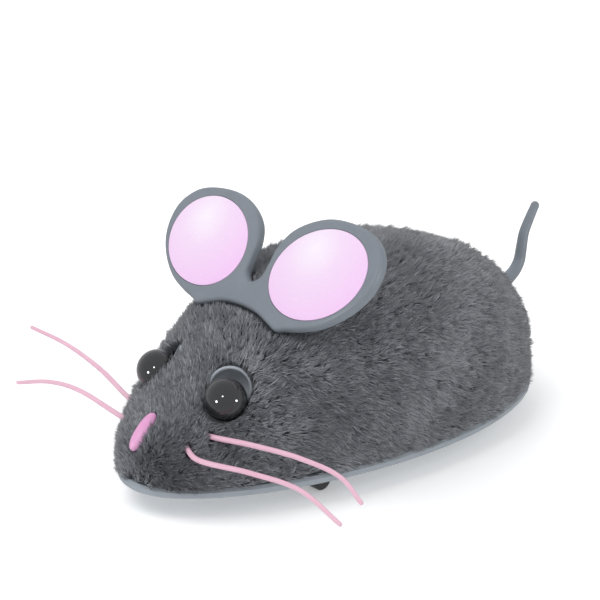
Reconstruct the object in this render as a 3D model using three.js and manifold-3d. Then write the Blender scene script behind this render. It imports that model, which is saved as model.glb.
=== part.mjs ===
// Wind-up plush mouse: a fur cover over a hard shell, a base pan on wheels, and a
// two-plate clockwork motor wound from the right-hand side.
// Millimetres, +Z up, nose towards -Y, the mouse's left side is +X, floor at Z = 0.
import * as THREE from 'three';
import { mergeVertices } from 'three/addons/utils/BufferGeometryUtils.js';
import Module from 'manifold-3d';

const wasm = await Module();
wasm.setup();

// Body envelope, measured over the fur
const bodyLength = 106;
const bodyWidth = 56.4;
const backHeight = 43;
const rumpSwell = 0.16; // how much fuller the plan outline is behind the middle
const roundness = 2.35; // exponent of the cross-section's superellipse
const furThickness = 2.7;
const shellWall = 1.6;

// Base pan
const panUnderside = 4.6;
const panFloor = 1.8;
const panLipHeight = 2.6;
const panLipWall = 1.2;

// Fits
const layerGap = 0.3; // between stacked layers
const seatGap = 0.1; // round a piece pressed into a seat
const runningGap = 0.05; // round a turning shaft

// Ear plate, drawn in its own plane: u across, v up the plate
const earStation = -20; // along Y
const earLift = 4.92; // plate origin above the fur
const earLean = THREE.MathUtils.degToRad(35.5);
const earSpread = 15.5;
const earHalfWidth = 13.4;
const earHalfHeight = 11.2;
const earTilt = THREE.MathUtils.degToRad(16);
const earBorder = 1.9;
const earThickness = 2.6;
const earEdgeRound = 0.6;
const liningThickness = 0.6;
const pegRadius = 1.2;
const pegLength = 9;
const pegSpread = 5;
const pegRise = -8.5; // along v, like the bridge's own sizes
const bridgeTop = -5;
const bridgeLow = -12.4;
const bridgeHalf = 11.2;
const bridgeArch = 3.2; // how far the lower edge curves up over the head
const bridgeWaist = -9;
const bridgeShoulder = 5;
const notchHalf = 3.4;

// Face
const eyeRadius = 4;
const eyeStation = -38;
const eyeSide = 10;
const eyeTurn = THREE.MathUtils.degToRad(42); // axis away from straight ahead
const eyeRaise = THREE.MathUtils.degToRad(10);
const eyeSink = 0.85; // bead's centre below the coat
const eyeStemRadius = 1;
const eyeStemLength = 4.5;
const cupWall = 0.7;
const cupDepth = 2.4;
const cupRadius = 3.6; // inside the bowl
const cupRaise = THREE.MathUtils.degToRad(24);
const cupRise = 1.9; // mouth's centre above the bead's, square to the cup's axis
const cupAside = 0.45; // and towards the ear
const cupSetBack = 2.6;
const noseStation = -49.6;
const noseSink = 0.8; // centre below the coat
const noseHalfLength = 4;
const noseHalfWidth = 1.75;
const noseStemRadius = 0.9;
const noseStemLength = 5;
const whiskerRadius = 0.55;
const whiskerTipRadius = 0.42;
const whiskerSink = 1.3; // root below the coat

// Tail
const tailRootRadius = 1.8;
const tailTipRadius = 1;
const tailRise = 19; // root above the floor

// Drive train
const gearModule = 0.5;
const toothBacklash = 0.16;
const centreSlack = 0.1;
const greatTeeth = 40;
const pinionTeeth = 10;
const secondTeeth = 30;
const drivePinionTeeth = 10;
const gearWidth = 1.4;
const driveRadius = 7;
const driveStation = 16;
const tyreWidth = 4;
const tyreThickness = 1.3;
const trackInner = 9.4; // inner face of each drive wheel
const axleRadius = 1;
const secondArborRadius = 0.8;
const arborRadius = 1.2;
const frontRadius = 2.1;
const frontStation = -20.6;
const frontWidth = 3;
const frontTrackOuter = 18.2;
const frontAxleRadius = 0.7;
const hangerWidth = 2;

// Motor frame
const plateThickness = 0.8;
const plateInner = 7; // half the space between the plates
const plateFront = -14;
const plateTop = 33.5;
const footReach = 5.4;
const footLength = 5;
const footGap = 1; // drive wheel to rear foot
const plateRear = driveStation + driveRadius + footGap + footLength;
const footHeight = 9.2;
const pillarRadius = 1.5;
const rivetRadius = 0.8;

// Screws
const screwRadius = 1.1;
const screwHeadRadius = 2.1;
const screwHeadHeight = 1;
const smallScrewRadius = 0.7;
const smallHeadRadius = 1.4;
const postRadius = 2.5;

// Key
const keyStemRadius = 2.4;
const keyClearance = 1.2; // stem end above the fur
const keySocketDepth = 5;
const keySquare = 1.6;
const keyWingSpan = 19;
const keyWingDepth = 9;
const keyWingThickness = 1.6;

const materials = {
  fur: new THREE.MeshStandardMaterial({ color: 0x56595d, roughness: 1 }),
  greyPlastic: new THREE.MeshStandardMaterial({ color: 0x868c94, roughness: 0.45 }),
  paleGreyPlastic: new THREE.MeshStandardMaterial({ color: 0x9aa3ab, roughness: 0.5 }),
  pinkPlastic: new THREE.MeshStandardMaterial({ color: 0xf3d3f0, roughness: 0.4 }),
  nosePlastic: new THREE.MeshStandardMaterial({ color: 0xeda6dc, roughness: 0.35 }),
  bead: new THREE.MeshStandardMaterial({ color: 0x1d1d20, roughness: 0.08 }),
  shell: new THREE.MeshStandardMaterial({ color: 0x3d4044, roughness: 0.6 }),
  rubber: new THREE.MeshStandardMaterial({ color: 0x17181a, roughness: 0.8 }),
  blackPlastic: new THREE.MeshStandardMaterial({ color: 0x202124, roughness: 0.5 }),
  steel: new THREE.MeshStandardMaterial({ color: 0xb9bcc0, roughness: 0.35, metalness: 1 }),
  springSteel: new THREE.MeshStandardMaterial({ color: 0x5d6470, roughness: 0.3, metalness: 1 }),
  brass: new THREE.MeshStandardMaterial({ color: 0xc9a04a, roughness: 0.35, metalness: 1 }),
  gearPlastic: new THREE.MeshStandardMaterial({ color: 0xe7e3d8, roughness: 0.5 }),
};

const mouse = new THREE.Group();
mouse.name = 'clockwork_mouse';

// ---------- solids ----------

// Turns a geometry's faces to point outwards.
function outward(geometry) {
  const place = geometry.attributes.position;
  const index = geometry.index.array;
  const a = new THREE.Vector3();
  const b = new THREE.Vector3();
  const c = new THREE.Vector3();
  let volume = 0;
  for (let i = 0; i < index.length; i += 3) {
    a.fromBufferAttribute(place, index[i]);
    b.fromBufferAttribute(place, index[i + 1]);
    c.fromBufferAttribute(place, index[i + 2]);
    volume += a.dot(b.cross(c));
  }
  if (volume < 0) {
    for (let i = 0; i < index.length; i += 3) {
      [index[i], index[i + 1]] = [index[i + 1], index[i]];
    }
  }
  return geometry;
}

// Merges shared vertices and drops the empty triangles that a merged pole leaves.
function welded(geometry) {
  const bare = geometry.clone();
  bare.deleteAttribute('normal');
  bare.deleteAttribute('uv');
  const merged = mergeVertices(bare, 1e-4);
  const kept = [];
  const index = merged.index.array;
  for (let i = 0; i < index.length; i += 3) {
    const [p, q, r] = [index[i], index[i + 1], index[i + 2]];
    if (p !== q && q !== r && r !== p) kept.push(p, q, r);
  }
  merged.setIndex(kept);
  return outward(merged);
}

function solidOf(geometry) {
  const closed = welded(geometry);
  return new wasm.Manifold(new wasm.Mesh({
    numProp: 3,
    vertProperties: new Float32Array(closed.attributes.position.array),
    triVerts: new Uint32Array(closed.index.array),
  }));
}

function geometryOf(solid) {
  const mesh = solid.getMesh();
  const geometry = new THREE.BufferGeometry();
  geometry.setAttribute('position', new THREE.BufferAttribute(mesh.vertProperties, 3));
  geometry.setIndex(new THREE.BufferAttribute(mesh.triVerts, 1));
  geometry.computeVertexNormals();
  return geometry;
}

function addPiece(name, geometry, material, parent = mouse) {
  const mesh = new THREE.Mesh(geometry, material.clone());
  mesh.name = name;
  parent.add(mesh);
  return mesh;
}

const join = (...geometries) => geometryOf(geometries.map(solidOf).reduce((sum, next) => sum.add(next)));

function cut(geometry, ...cutters) {
  return geometryOf(cutters.map(solidOf).reduce((rest, next) => rest.subtract(next), solidOf(geometry)));
}

const common = (a, b) => geometryOf(solidOf(a).intersect(solidOf(b)));

// A round bar along X, from x0 to x1, centred on (y, z).
function barX(radius, x0, x1, y = 0, z = 0, sides = 24) {
  const bar = new THREE.CylinderGeometry(radius, radius, x1 - x0, sides);
  return bar.rotateZ(-Math.PI / 2).translate((x0 + x1) / 2, y, z);
}

// A round bar along Z, from z0 to z1, centred on (x, y).
function barZ(radius, z0, z1, x = 0, y = 0, sides = 24) {
  const bar = new THREE.CylinderGeometry(radius, radius, z1 - z0, sides);
  return bar.rotateX(Math.PI / 2).translate(x, y, (z0 + z1) / 2);
}

function block(x0, x1, y0, y1, z0, z1) {
  const box = new THREE.BoxGeometry(x1 - x0, y1 - y0, z1 - z0);
  return box.translate((x0 + x1) / 2, (y0 + y1) / 2, (z0 + z1) / 2);
}

function extruded(shape, depth, bevel = 0, curveSegments = 12) {
  return new THREE.ExtrudeGeometry(shape, {
    depth: depth - 2 * bevel,
    bevelEnabled: bevel > 0,
    bevelThickness: bevel,
    bevelSize: bevel,
    bevelOffset: -bevel,
    bevelSegments: 1,
    curveSegments,
    steps: 1,
  }).translate(0, 0, bevel);
}

// Lays an extrusion drawn in (y, z) so that its depth runs along X from x0.
function alongX(geometry, x0) {
  const turn = new THREE.Matrix4().makeBasis(
    new THREE.Vector3(0, 1, 0),
    new THREE.Vector3(0, 0, 1),
    new THREE.Vector3(1, 0, 0),
  );
  return geometry.applyMatrix4(turn).translate(x0, 0, 0);
}

// Turns a profile of [radius, along] points round an axis, then lays the axis along X.
function turnedX(profile, x0, y, z, sides = 32) {
  const points = profile.map(([radius, along]) => new THREE.Vector2(radius, along));
  const lathe = new THREE.LatheGeometry(points, sides);
  return outward(welded(lathe.rotateZ(-Math.PI / 2).translate(x0, y, z)));
}

const mirrorX = (geometry) => outward(geometry.clone().scale(-1, 1, 1));

// ---------- body surface ----------

const halfLength = bodyLength / 2;
const halfWidth = bodyWidth / 2;

// Back line over the fur: share of the half length, share of the back height
const backLine = [
  [-1, 0.19], [-0.96, 0.34], [-0.89, 0.42], [-0.68, 0.62], [-0.45, 0.845], [-0.15, 0.955],
  [0.03, 0.978], [0.19, 0.972], [0.53, 0.885], [0.8, 0.72], [0.94, 0.57], [1, 0.33],
];

// Smooth height at a share of the half length: a cubic with three-point slopes.
function backShare(share) {
  const last = backLine.length - 1;
  const t = THREE.MathUtils.clamp(share, -1, 1);
  let i = 0;
  while (i < last - 1 && backLine[i + 1][0] < t) i += 1;
  const slopeAt = (k) => {
    const before = backLine[Math.max(k - 1, 0)];
    const after = backLine[Math.min(k + 1, last)];
    return (after[1] - before[1]) / (after[0] - before[0]);
  };
  const [x0, y0] = backLine[i];
  const [x1, y1] = backLine[i + 1];
  const step = x1 - x0;
  const s = (t - x0) / step;
  const rise = y0 * (1 + 2 * s) * (1 - s) ** 2 + y1 * s * s * (3 - 2 * s);
  return rise + step * (slopeAt(i) * s * (1 - s) ** 2 + slopeAt(i + 1) * s * s * (s - 1));
}

const backZ = (y, inset = 0) => backShare(y / (halfLength - inset)) * backHeight - inset;

function planHalfWidth(y, inset = 0) {
  const share = THREE.MathUtils.clamp(y / (halfLength - inset), -1, 1);
  return (halfWidth - inset) * Math.sqrt(1 - share * share) * (1 + rumpSwell * share);
}

// Height of the fur at (x, y).
function furZ(x, y, inset = 0) {
  const side = Math.min(Math.abs(x) / planHalfWidth(y, inset), 1);
  return panUnderside + (backZ(y, inset) - panUnderside) * (1 - side ** roundness) ** (1 / roundness);
}

// Stations along the body; rings that nest with the shell use the same ones.
const stations = 18;

// Plan outline inset from the fur's outline.
function planShape(inset, points = 2 * stations) {
  const outline = [];
  for (let i = 0; i < points; i += 1) {
    const angle = (2 * Math.PI * i) / points;
    const y = -(halfLength - inset) * Math.cos(angle);
    const side = Math.sin(angle);
    outline.push(new THREE.Vector2((halfWidth - inset) * side * (1 - rumpSwell * Math.cos(angle)), y));
  }
  return new THREE.Shape(outline);
}

// The body as a closed solid standing on a flat bottom at Z = bottom.
function bodySolid(inset, bottom, around = 14) {
  const positions = [];
  const index = [];
  for (let i = 0; i <= stations; i += 1) {
    const share = -Math.cos((Math.PI * i) / stations);
    const y = (halfLength - inset) * share;
    const width = planHalfWidth(y, inset);
    const top = backZ(y, inset);
    for (let j = 0; j <= around; j += 1) {
      const angle = (Math.PI * j) / around;
      const c = Math.cos(angle);
      const s = Math.max(Math.sin(angle), 0);
      const x = Math.sign(c) * width * Math.abs(c) ** (2 / roundness);
      positions.push(x, y, bottom + (top - bottom) * s ** (2 / roundness));
    }
  }
  const row = around + 1;
  for (let i = 0; i < stations; i += 1) {
    for (let j = 0; j < around; j += 1) {
      const a = i * row + j;
      index.push(a, a + row, a + 1, a + 1, a + row, a + row + 1);
    }
    const right = i * row;
    const left = right + around;
    index.push(right, left, right + row, left, left + row, right + row);
  }
  const geometry = new THREE.BufferGeometry();
  geometry.setAttribute('position', new THREE.Float32BufferAttribute(positions, 3));
  geometry.setIndex(index);
  return geometry;
}

// ---------- ear plate ----------

const earFrame = new THREE.Group();
earFrame.position.set(0, earStation, backZ(earStation) + earLift);
// local x = u across, local y = v up the plate, local z = out of the front face
earFrame.rotation.set(Math.PI / 2 - earLean, 0, 0);
mouse.add(earFrame);
earFrame.updateMatrixWorld(true);

function ellipseShape(halfW, halfH, side) {
  const shape = new THREE.Shape();
  shape.absellipse(side * earSpread, 0, halfW, halfH, 0, 2 * Math.PI, false, side * earTilt);
  return shape;
}

function earBridgeShape(grow) {
  const shape = new THREE.Shape();
  const top = bridgeTop + grow;
  const low = bridgeLow - grow;
  const half = bridgeHalf + grow;
  shape.moveTo(-half, low);
  shape.quadraticCurveTo(0, low + bridgeArch, half, low);
  shape.lineTo(half + 0.6, bridgeWaist);
  shape.lineTo(half - bridgeShoulder, top + 1.4);
  shape.quadraticCurveTo(notchHalf, top, 0, top);
  shape.quadraticCurveTo(-notchHalf, top, -half + bridgeShoulder, top + 1.4);
  shape.lineTo(-half - 0.6, bridgeWaist);
  shape.closePath();
  return shape;
}

// The whole plate, or with grow > 0 the space that it needs.
function earPlateSolid(grow = 0) {
  const bevel = grow > 0 ? 0 : earEdgeRound;
  const depth = earThickness + 2 * grow;
  const ear = (side) => extruded(
    ellipseShape(earHalfWidth + grow, earHalfHeight + grow, side), depth, bevel, bevel > 0 ? 16 : 10,
  );
  const bridge = extruded(earBridgeShape(grow), depth, bevel, bevel > 0 ? 4 : 2);
  const parts = [ear(1), ear(-1), bridge].map((piece) => piece.translate(0, 0, -earThickness - grow));
  for (const side of [-1, 1]) {
    const peg = barZ(pegRadius + grow / 2, -earThickness - pegLength, -earThickness + 0.4, 0, 0, 12);
    parts.push(peg.translate(side * pegSpread, pegRise, 0));
  }
  return join(...parts);
}

function buildEars() {
  const liningHalf = [earHalfWidth - earBorder, earHalfHeight - earBorder];
  const recess = (side) => extruded(
    ellipseShape(liningHalf[0] + seatGap, liningHalf[1] + seatGap, side), 2, 0, 16,
  ).translate(0, 0, -liningThickness + 0.1);
  addPiece('ear_plate', cut(earPlateSolid(), recess(1), recess(-1)), materials.greyPlastic, earFrame);
  for (const [name, side] of [['ear_lining_left', 1], ['ear_lining_right', -1]]) {
    const lining = extruded(ellipseShape(liningHalf[0], liningHalf[1], side), liningThickness, 0.15, 16);
    addPiece(name, lining.translate(0, 0, -liningThickness + 0.1 + seatGap), materials.pinkPlastic, earFrame);
  }
  return earPlateSolid(layerGap).applyMatrix4(earFrame.matrixWorld);
}

// ---------- face ----------

// A group at a point whose local +Z is the given outward direction.
function frameAt(point, direction) {
  const frame = new THREE.Group();
  frame.position.copy(point);
  frame.quaternion.setFromUnitVectors(new THREE.Vector3(0, 0, 1), direction.clone().normalize());
  mouse.add(frame);
  frame.updateMatrixWorld(true);
  return frame;
}

// Profile of [radius, along] turned round local Z.
function turnedZ(profile, sides = 20) {
  const points = profile.map(([radius, along]) => new THREE.Vector2(radius, along));
  return welded(new THREE.LatheGeometry(points, sides).rotateX(Math.PI / 2));
}

const facing = (side, raise) => new THREE.Vector3(
  side * Math.sin(eyeTurn) * Math.cos(raise),
  -Math.cos(eyeTurn) * Math.cos(raise),
  Math.sin(raise),
);

// The bead stands in front of the lower half of its cup, so the cup is cut round it.
function buildEye(side, name) {
  const centre = new THREE.Vector3(side * eyeSide, eyeStation, furZ(eyeSide, eyeStation) - eyeSink);
  const frame = frameAt(centre, facing(side, eyeRaise));
  const cupAxis = facing(side, cupRaise);
  const cupUp = new THREE.Vector3(0, 0, 1).addScaledVector(cupAxis, -cupAxis.z).normalize();
  const aside = new THREE.Vector3(side * Math.cos(eyeTurn), Math.sin(eyeTurn), 0);
  const mouth = centre.clone().addScaledVector(cupUp, cupRise)
    .addScaledVector(cupAxis, -cupSetBack).addScaledVector(aside, cupAside);
  const cupFrame = frameAt(mouth, cupAxis);
  const bowl = cupRadius;
  const outer = bowl + cupWall;
  const cup = turnedZ([
    [0, -cupDepth - cupWall], [outer * 0.72, -cupDepth - cupWall], [outer, -cupDepth * 0.55],
    [outer, 0], [bowl, 0], [bowl, -cupDepth * 0.45], [bowl * 0.7, -cupDepth + 0.2], [0, -cupDepth],
  ]).applyMatrix4(cupFrame.matrixWorld);
  const ball = (radius) => new THREE.SphereGeometry(radius, 14, 10);
  const stem = (radius, extra, end) => barZ(radius, -eyeRadius - eyeStemLength - extra, end, 0, 0, 10);
  const beadSpace = join(ball(eyeRadius + layerGap), stem(eyeStemRadius + seatGap, 1, 0))
    .applyMatrix4(frame.matrixWorld);
  addPiece(`eye_cup_${name}`, cut(cup, beadSpace), materials.greyPlastic);
  addPiece(`eye_${name}`, join(ball(eyeRadius), stem(eyeStemRadius, 0, -eyeRadius + 0.6)), materials.bead, frame);
  const seat = barZ(outer + seatGap, -cupDepth - cupWall - seatGap, 3 * eyeRadius, 0, 0, 16);
  return join(seat.applyMatrix4(cupFrame.matrixWorld), beadSpace);
}

function buildNose() {
  const step = 1;
  const rise = backZ(noseStation + step) - backZ(noseStation - step);
  const slope = Math.atan2(rise, 2 * step);
  const centre = new THREE.Vector3(0, noseStation, backZ(noseStation) - noseSink);
  const frame = frameAt(centre, new THREE.Vector3(0, -Math.sin(slope), Math.cos(slope)));
  const oval = (grow) => new THREE.SphereGeometry(1, 12, 8)
    .scale(noseHalfWidth + grow, noseHalfLength + grow, noseHalfWidth + grow);
  const stem = (grow) => barZ(noseStemRadius + grow, -noseStemLength - noseHalfWidth - grow, 0, 0, 0, 10);
  addPiece('nose', join(oval(0), stem(0)), materials.nosePlastic, frame);
  return join(oval(layerGap), stem(seatGap)).applyMatrix4(frame.matrixWorld);
}

// A round tube along a curve whose radius goes from one end's to the other's.
function taperedTube(curve, startRadius, endRadius, steps, sides) {
  const frames = curve.computeFrenetFrames(steps, false);
  const positions = [];
  const index = [];
  for (let i = 0; i <= steps; i += 1) {
    const t = i / steps;
    const middle = curve.getPointAt(t);
    const radius = THREE.MathUtils.lerp(startRadius, endRadius, t);
    for (let j = 0; j < sides; j += 1) {
      const angle = (2 * Math.PI * j) / sides;
      const point = middle.clone();
      point.addScaledVector(frames.normals[i], radius * Math.cos(angle));
      point.addScaledVector(frames.binormals[i], radius * Math.sin(angle));
      positions.push(point.x, point.y, point.z);
    }
  }
  const ends = [curve.getPointAt(0), curve.getPointAt(1)];
  positions.push(ends[0].x, ends[0].y, ends[0].z, ends[1].x, ends[1].y, ends[1].z);
  const startCentre = (steps + 1) * sides;
  for (let j = 0; j < sides; j += 1) {
    const next = (j + 1) % sides;
    for (let i = 0; i < steps; i += 1) {
      const a = i * sides;
      index.push(a + j, a + next, a + sides + j, a + next, a + sides + next, a + sides + j);
    }
    index.push(startCentre, next, j);
    index.push(startCentre + 1, steps * sides + j, steps * sides + next);
  }
  const geometry = new THREE.BufferGeometry();
  geometry.setAttribute('position', new THREE.Float32BufferAttribute(positions, 3));
  geometry.setIndex(index);
  return outward(geometry);
}

// Each whisker starts inside the shell; its points are steps from its root on the fur.
const whiskers = [
  { name: 'whisker_left_upper', side: 1, x: 10.6, y: -42.9,
    way: [[9, 2.2, 0.5], [20.4, 3.6, 1.2], [30, 3.8, 0.9], [37, 1.6, -0.6]] },
  { name: 'whisker_left_lower', side: 1, x: 8.5, y: -46.4,
    way: [[3.8, -0.9, -0.7], [14.5, 2.5, -0.9], [26, 3.7, -0.6], [36.5, 2.8, -2.8]] },
  { name: 'whisker_right_upper', side: -1, x: 10.6, y: -42.9,
    way: [[12.4, 0.8, 3.3], [25.4, 2, 4.7], [37.4, 1.9, 5.2]] },
  { name: 'whisker_right_lower', side: -1, x: 8.5, y: -46.4,
    way: [[13.5, -1.4, 2.5], [24.5, -0.9, 1], [36.5, -0.8, -2.7]] },
];

function buildWhisker({ name, side, x, y, way }) {
  const root = new THREE.Vector3(side * x, y, furZ(x, y) - whiskerSink);
  const inner = root.clone().add(new THREE.Vector3(-side * 4.4, 2.2, -1.2));
  const points = [inner, root, ...way.map((step) => new THREE.Vector3(side * step[0], step[1], step[2]).add(root))];
  const curve = new THREE.CatmullRomCurve3(points);
  addPiece(name, taperedTube(curve, whiskerRadius, whiskerTipRadius, 14, 6), materials.nosePlastic);
  const start = inner.clone().lerp(root, -0.3);
  const wayOut = new THREE.CatmullRomCurve3([start, inner, root, curve.getPointAt(0.2)]);
  return taperedTube(wayOut, whiskerRadius + layerGap, whiskerRadius + layerGap, 4, 6);
}

// ---------- tail ----------

function buildTail() {
  const root = new THREE.Vector3(0, halfLength, tailRise);
  const way = [
    [-6.5, -2], [-2, -0.6], [1.6, 0.5], [4.5, 1.8], [6.9, 3.2], [8.5, 5.2],
    [9.2, 8.6], [9.8, 11.6], [11.2, 14.2], [13.5, 17.6],
  ];
  const points = way.map(([back, up]) => new THREE.Vector3(0, root.y + back, root.z + up));
  const curve = new THREE.CatmullRomCurve3(points);
  addPiece('tail', taperedTube(curve, tailRootRadius, tailTipRadius, 16, 10), materials.greyPlastic);
  const wayOut = new THREE.CatmullRomCurve3([0, 0.1, 0.2, 0.3].map((t) => curve.getPointAt(t)));
  return taperedTube(wayOut, tailRootRadius + seatGap, tailRootRadius + seatGap, 6, 10);
}

// ---------- gears ----------

const involute = (ratio) => Math.tan(Math.acos(ratio)) - Math.acos(ratio);

// Spur gear outline with an involute flank; a tooth is centred on angle `phase`.
function gearShape(teeth, addendum, phase, boreRadius) {
  const pitch = (gearModule * teeth) / 2;
  const base = pitch * Math.cos(THREE.MathUtils.degToRad(20));
  const tip = pitch + addendum * gearModule;
  const rootRadius = pitch - 1.3 * gearModule;
  const halfAtPitch = Math.PI / (2 * teeth) - toothBacklash / (4 * pitch);
  const half = (radius) => halfAtPitch + involute(base / pitch) - involute(Math.min(base / radius, 1));
  const foot = Math.max(base, rootRadius + 0.05);
  const rungs = teeth > 20 ? [rootRadius, pitch, tip] : [rootRadius, foot, tip];
  const flank = rungs.map((radius) => [radius, half(Math.max(radius, base))]);
  const points = [];
  for (let i = 0; i < teeth; i += 1) {
    const middle = phase + (2 * Math.PI * i) / teeth;
    for (const [radius, angle] of flank) points.push([radius, middle - angle]);
    for (const [radius, angle] of [...flank].reverse()) points.push([radius, middle + angle]);
  }
  const shape = new THREE.Shape(points.map(([r, a]) => new THREE.Vector2(r * Math.cos(a), r * Math.sin(a))));
  const bore = new THREE.Path();
  bore.absarc(0, 0, boreRadius, 0, 2 * Math.PI, true);
  shape.holes.push(bore);
  return shape;
}

function gearAt(name, teeth, addendum, phase, bore, x0, width, centre, material, parent) {
  const gear = alongX(extruded(gearShape(teeth, addendum, phase, bore), width, 0, 10), 0);
  const mesh = addPiece(name, gear, material, parent);
  mesh.position.set(x0, centre.y, centre.z);
  return mesh;
}

const reachOf = (a, b) => Math.hypot(a.y - b.y, a.z - b.z);
const meshDistance = (a, b) => (gearModule * (a + b)) / 2 + centreSlack;

// Axes of the train as points in the Y-Z plane
const driveAxis = { y: driveStation, z: driveRadius };
const secondReach = meshDistance(secondTeeth, drivePinionTeeth);
const secondRise = THREE.MathUtils.degToRad(55);
const secondAxis = {
  y: driveAxis.y - secondReach * Math.cos(secondRise),
  z: driveAxis.z + secondReach * Math.sin(secondRise),
};
const keyReach = meshDistance(greatTeeth, pinionTeeth);
const keyRise = THREE.MathUtils.degToRad(150);
const keyAxis = {
  y: secondAxis.y + keyReach * Math.cos(keyRise),
  z: secondAxis.z + keyReach * Math.sin(keyRise),
};
const frontAxis = { y: frontStation, z: frontRadius };

const greatX = -4.8;
const secondX = 3.2;
const ratchetX = -6.5;
const ratchetWidth = 1.2;
const ratchetRadius = 4.4;
const ratchetDepth = 1; // of a tooth
const ratchetTeeth = 12;

const angleTo = (from, to) => Math.atan2(to.z - from.z, to.y - from.y);

function ratchetShape() {
  const points = [];
  const low = ratchetRadius - ratchetDepth;
  for (let i = 0; i < ratchetTeeth; i += 1) {
    const angle = (2 * Math.PI * i) / ratchetTeeth;
    const next = angle + (2 * Math.PI) / ratchetTeeth - 0.03;
    points.push(new THREE.Vector2(ratchetRadius * Math.cos(angle), ratchetRadius * Math.sin(angle)));
    points.push(new THREE.Vector2(low * Math.cos(next), low * Math.sin(next)));
  }
  const shape = new THREE.Shape(points);
  const bore = new THREE.Path();
  bore.absarc(0, 0, arborRadius + runningGap, 0, 2 * Math.PI, true);
  shape.holes.push(bore);
  return shape;
}

// The click is a small pawl on the great wheel's face, its nose in a ratchet tooth.
function clickShape() {
  const shape = new THREE.Shape();
  const tip = ratchetRadius + 0.35;
  const boss = tip + 2.65;
  shape.moveTo(-1.6, tip + 0.35);
  shape.lineTo(1.2, tip);
  shape.lineTo(2.2, boss - 0.6);
  shape.absarc(1, boss, 1.3, -0.4, Math.PI, false);
  shape.closePath();
  return shape;
}

// Spiral strip from the arbor out to the front upper pillar, as a closed ribbon along X.
function mainspringStrip(x0, width) {
  const turns = 5.6;
  const inner = arborRadius + 0.7;
  const outer = 9.6;
  const halfThickness = 0.15;
  const segments = 84;
  const endAngle = angleTo(keyAxis, pillars[2]);
  const reach = reachOf(keyAxis, pillars[2]) - pillarRadius - layerGap;
  const positions = [];
  const index = [];
  for (let i = 0; i <= segments + 1; i += 1) {
    const t = Math.min(i / segments, 1);
    const angle = endAngle - 2 * Math.PI * turns * (1 - t);
    const radius = i > segments ? reach : inner + (outer - inner) * t;
    const across = i > segments ? angle + Math.PI / 2 : angle;
    for (const [side, x] of [[-1, x0], [1, x0], [1, x0 + width], [-1, x0 + width]]) {
      const y = radius * Math.cos(angle) + side * halfThickness * Math.cos(across);
      positions.push(x, y, radius * Math.sin(angle) + side * halfThickness * Math.sin(across));
    }
  }
  for (let i = 0; i <= segments; i += 1) {
    for (let j = 0; j < 4; j += 1) {
      const [a, b] = [4 * i + j, 4 * i + ((j + 1) % 4)];
      index.push(a, b, a + 4, b, b + 4, a + 4);
    }
  }
  const end = 4 * (segments + 1);
  index.push(0, 2, 1, 0, 3, 2, end, end + 1, end + 2, end, end + 2, end + 3);
  const geometry = new THREE.BufferGeometry();
  geometry.setAttribute('position', new THREE.Float32BufferAttribute(positions, 3));
  geometry.setIndex(index);
  return outward(geometry);
}

// ---------- motor ----------

const pillars = [
  { name: 'pillar_front_lower', y: -11.5, z: 11 },
  { name: 'pillar_rear_upper', y: 14, z: 30.5 },
  { name: 'pillar_front_upper', y: -11.5, z: 30.4 },
  { name: 'pillar_rear_lower', y: 25.6, z: 13 },
];

const wheelWell = driveRadius + 0.6;
const footScrewX = plateInner + plateThickness + footReach / 2 + 0.2;
const footSpots = [plateFront + footLength / 2, plateRear - footLength / 2];

function plateShape() {
  const shape = new THREE.Shape();
  const bottom = panUnderside + panFloor + layerGap;
  const low = driveAxis.z - axleRadius - 0.9;
  const front = driveAxis.y - wheelWell + 0.8;
  const rear = driveAxis.y + wheelWell - 0.8;
  shape.moveTo(plateFront, bottom);
  shape.lineTo(front, bottom);
  shape.lineTo(front + 1.5, low);
  shape.lineTo(rear - 1.5, low);
  shape.lineTo(rear, bottom);
  shape.lineTo(plateRear, bottom);
  shape.lineTo(plateRear, 15);
  shape.quadraticCurveTo(plateRear, 18, plateRear - 2.4, 19.6);
  shape.lineTo(21, 31);
  shape.quadraticCurveTo(19.6, plateTop, 16.5, plateTop);
  shape.lineTo(plateFront + 3, plateTop);
  shape.quadraticCurveTo(plateFront, plateTop, plateFront, plateTop - 3);
  shape.closePath();
  return shape;
}

function buildPlates() {
  const holes = [
    [keyAxis, arborRadius + runningGap, 16],
    [secondAxis, secondArborRadius + runningGap, 16],
    [driveAxis, axleRadius + runningGap, 16],
    ...pillars.map((pillar) => [pillar, rivetRadius + runningGap, 10]),
  ];
  const footX = plateInner + plateThickness;
  const plate = extruded(plateShape(), plateThickness, 0, 4);
  const left = alongX(plate, plateInner);
  const feet = [plateFront, plateRear - footLength].map((y) => block(
    footX - 0.4, footX + footReach, y, y + footLength, footHeight, footHeight + plateThickness,
  ));
  const cutters = holes.map(([axis, radius, sides]) => barX(
    radius, plateInner - 1, footX + 1, axis.y, axis.z, sides,
  ));
  for (const spot of footSpots) {
    cutters.push(barZ(smallScrewRadius + seatGap, footHeight - 1, footHeight + 2, footScrewX, spot, 12));
  }
  const bracket = cut(join(left, ...feet), ...cutters);
  addPiece('motor_plate_left', bracket, materials.steel);
  addPiece('motor_plate_right', mirrorX(bracket), materials.steel);
}

function buildPillars() {
  const reach = plateInner + plateThickness + 0.4;
  for (const { name, y, z } of pillars) {
    const half = plateInner - 0.05;
    const profile = [
      [0, -reach], [rivetRadius, -reach], [rivetRadius, -half], [pillarRadius, -half],
      [pillarRadius, half], [rivetRadius, half], [rivetRadius, reach], [0, reach],
    ];
    addPiece(name, turnedX(profile, 0, y, z, 10), materials.steel);
  }
}

const keyStemEnd = -(planHalfWidthAt(keyAxis.y, keyAxis.z) + keyClearance);

// Half width of the fur at (y, z).
function planHalfWidthAt(y, z) {
  const up = (z - panUnderside) / (backZ(y) - panUnderside);
  return planHalfWidth(y) * (1 - up ** roundness) ** (1 / roundness);
}

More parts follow.
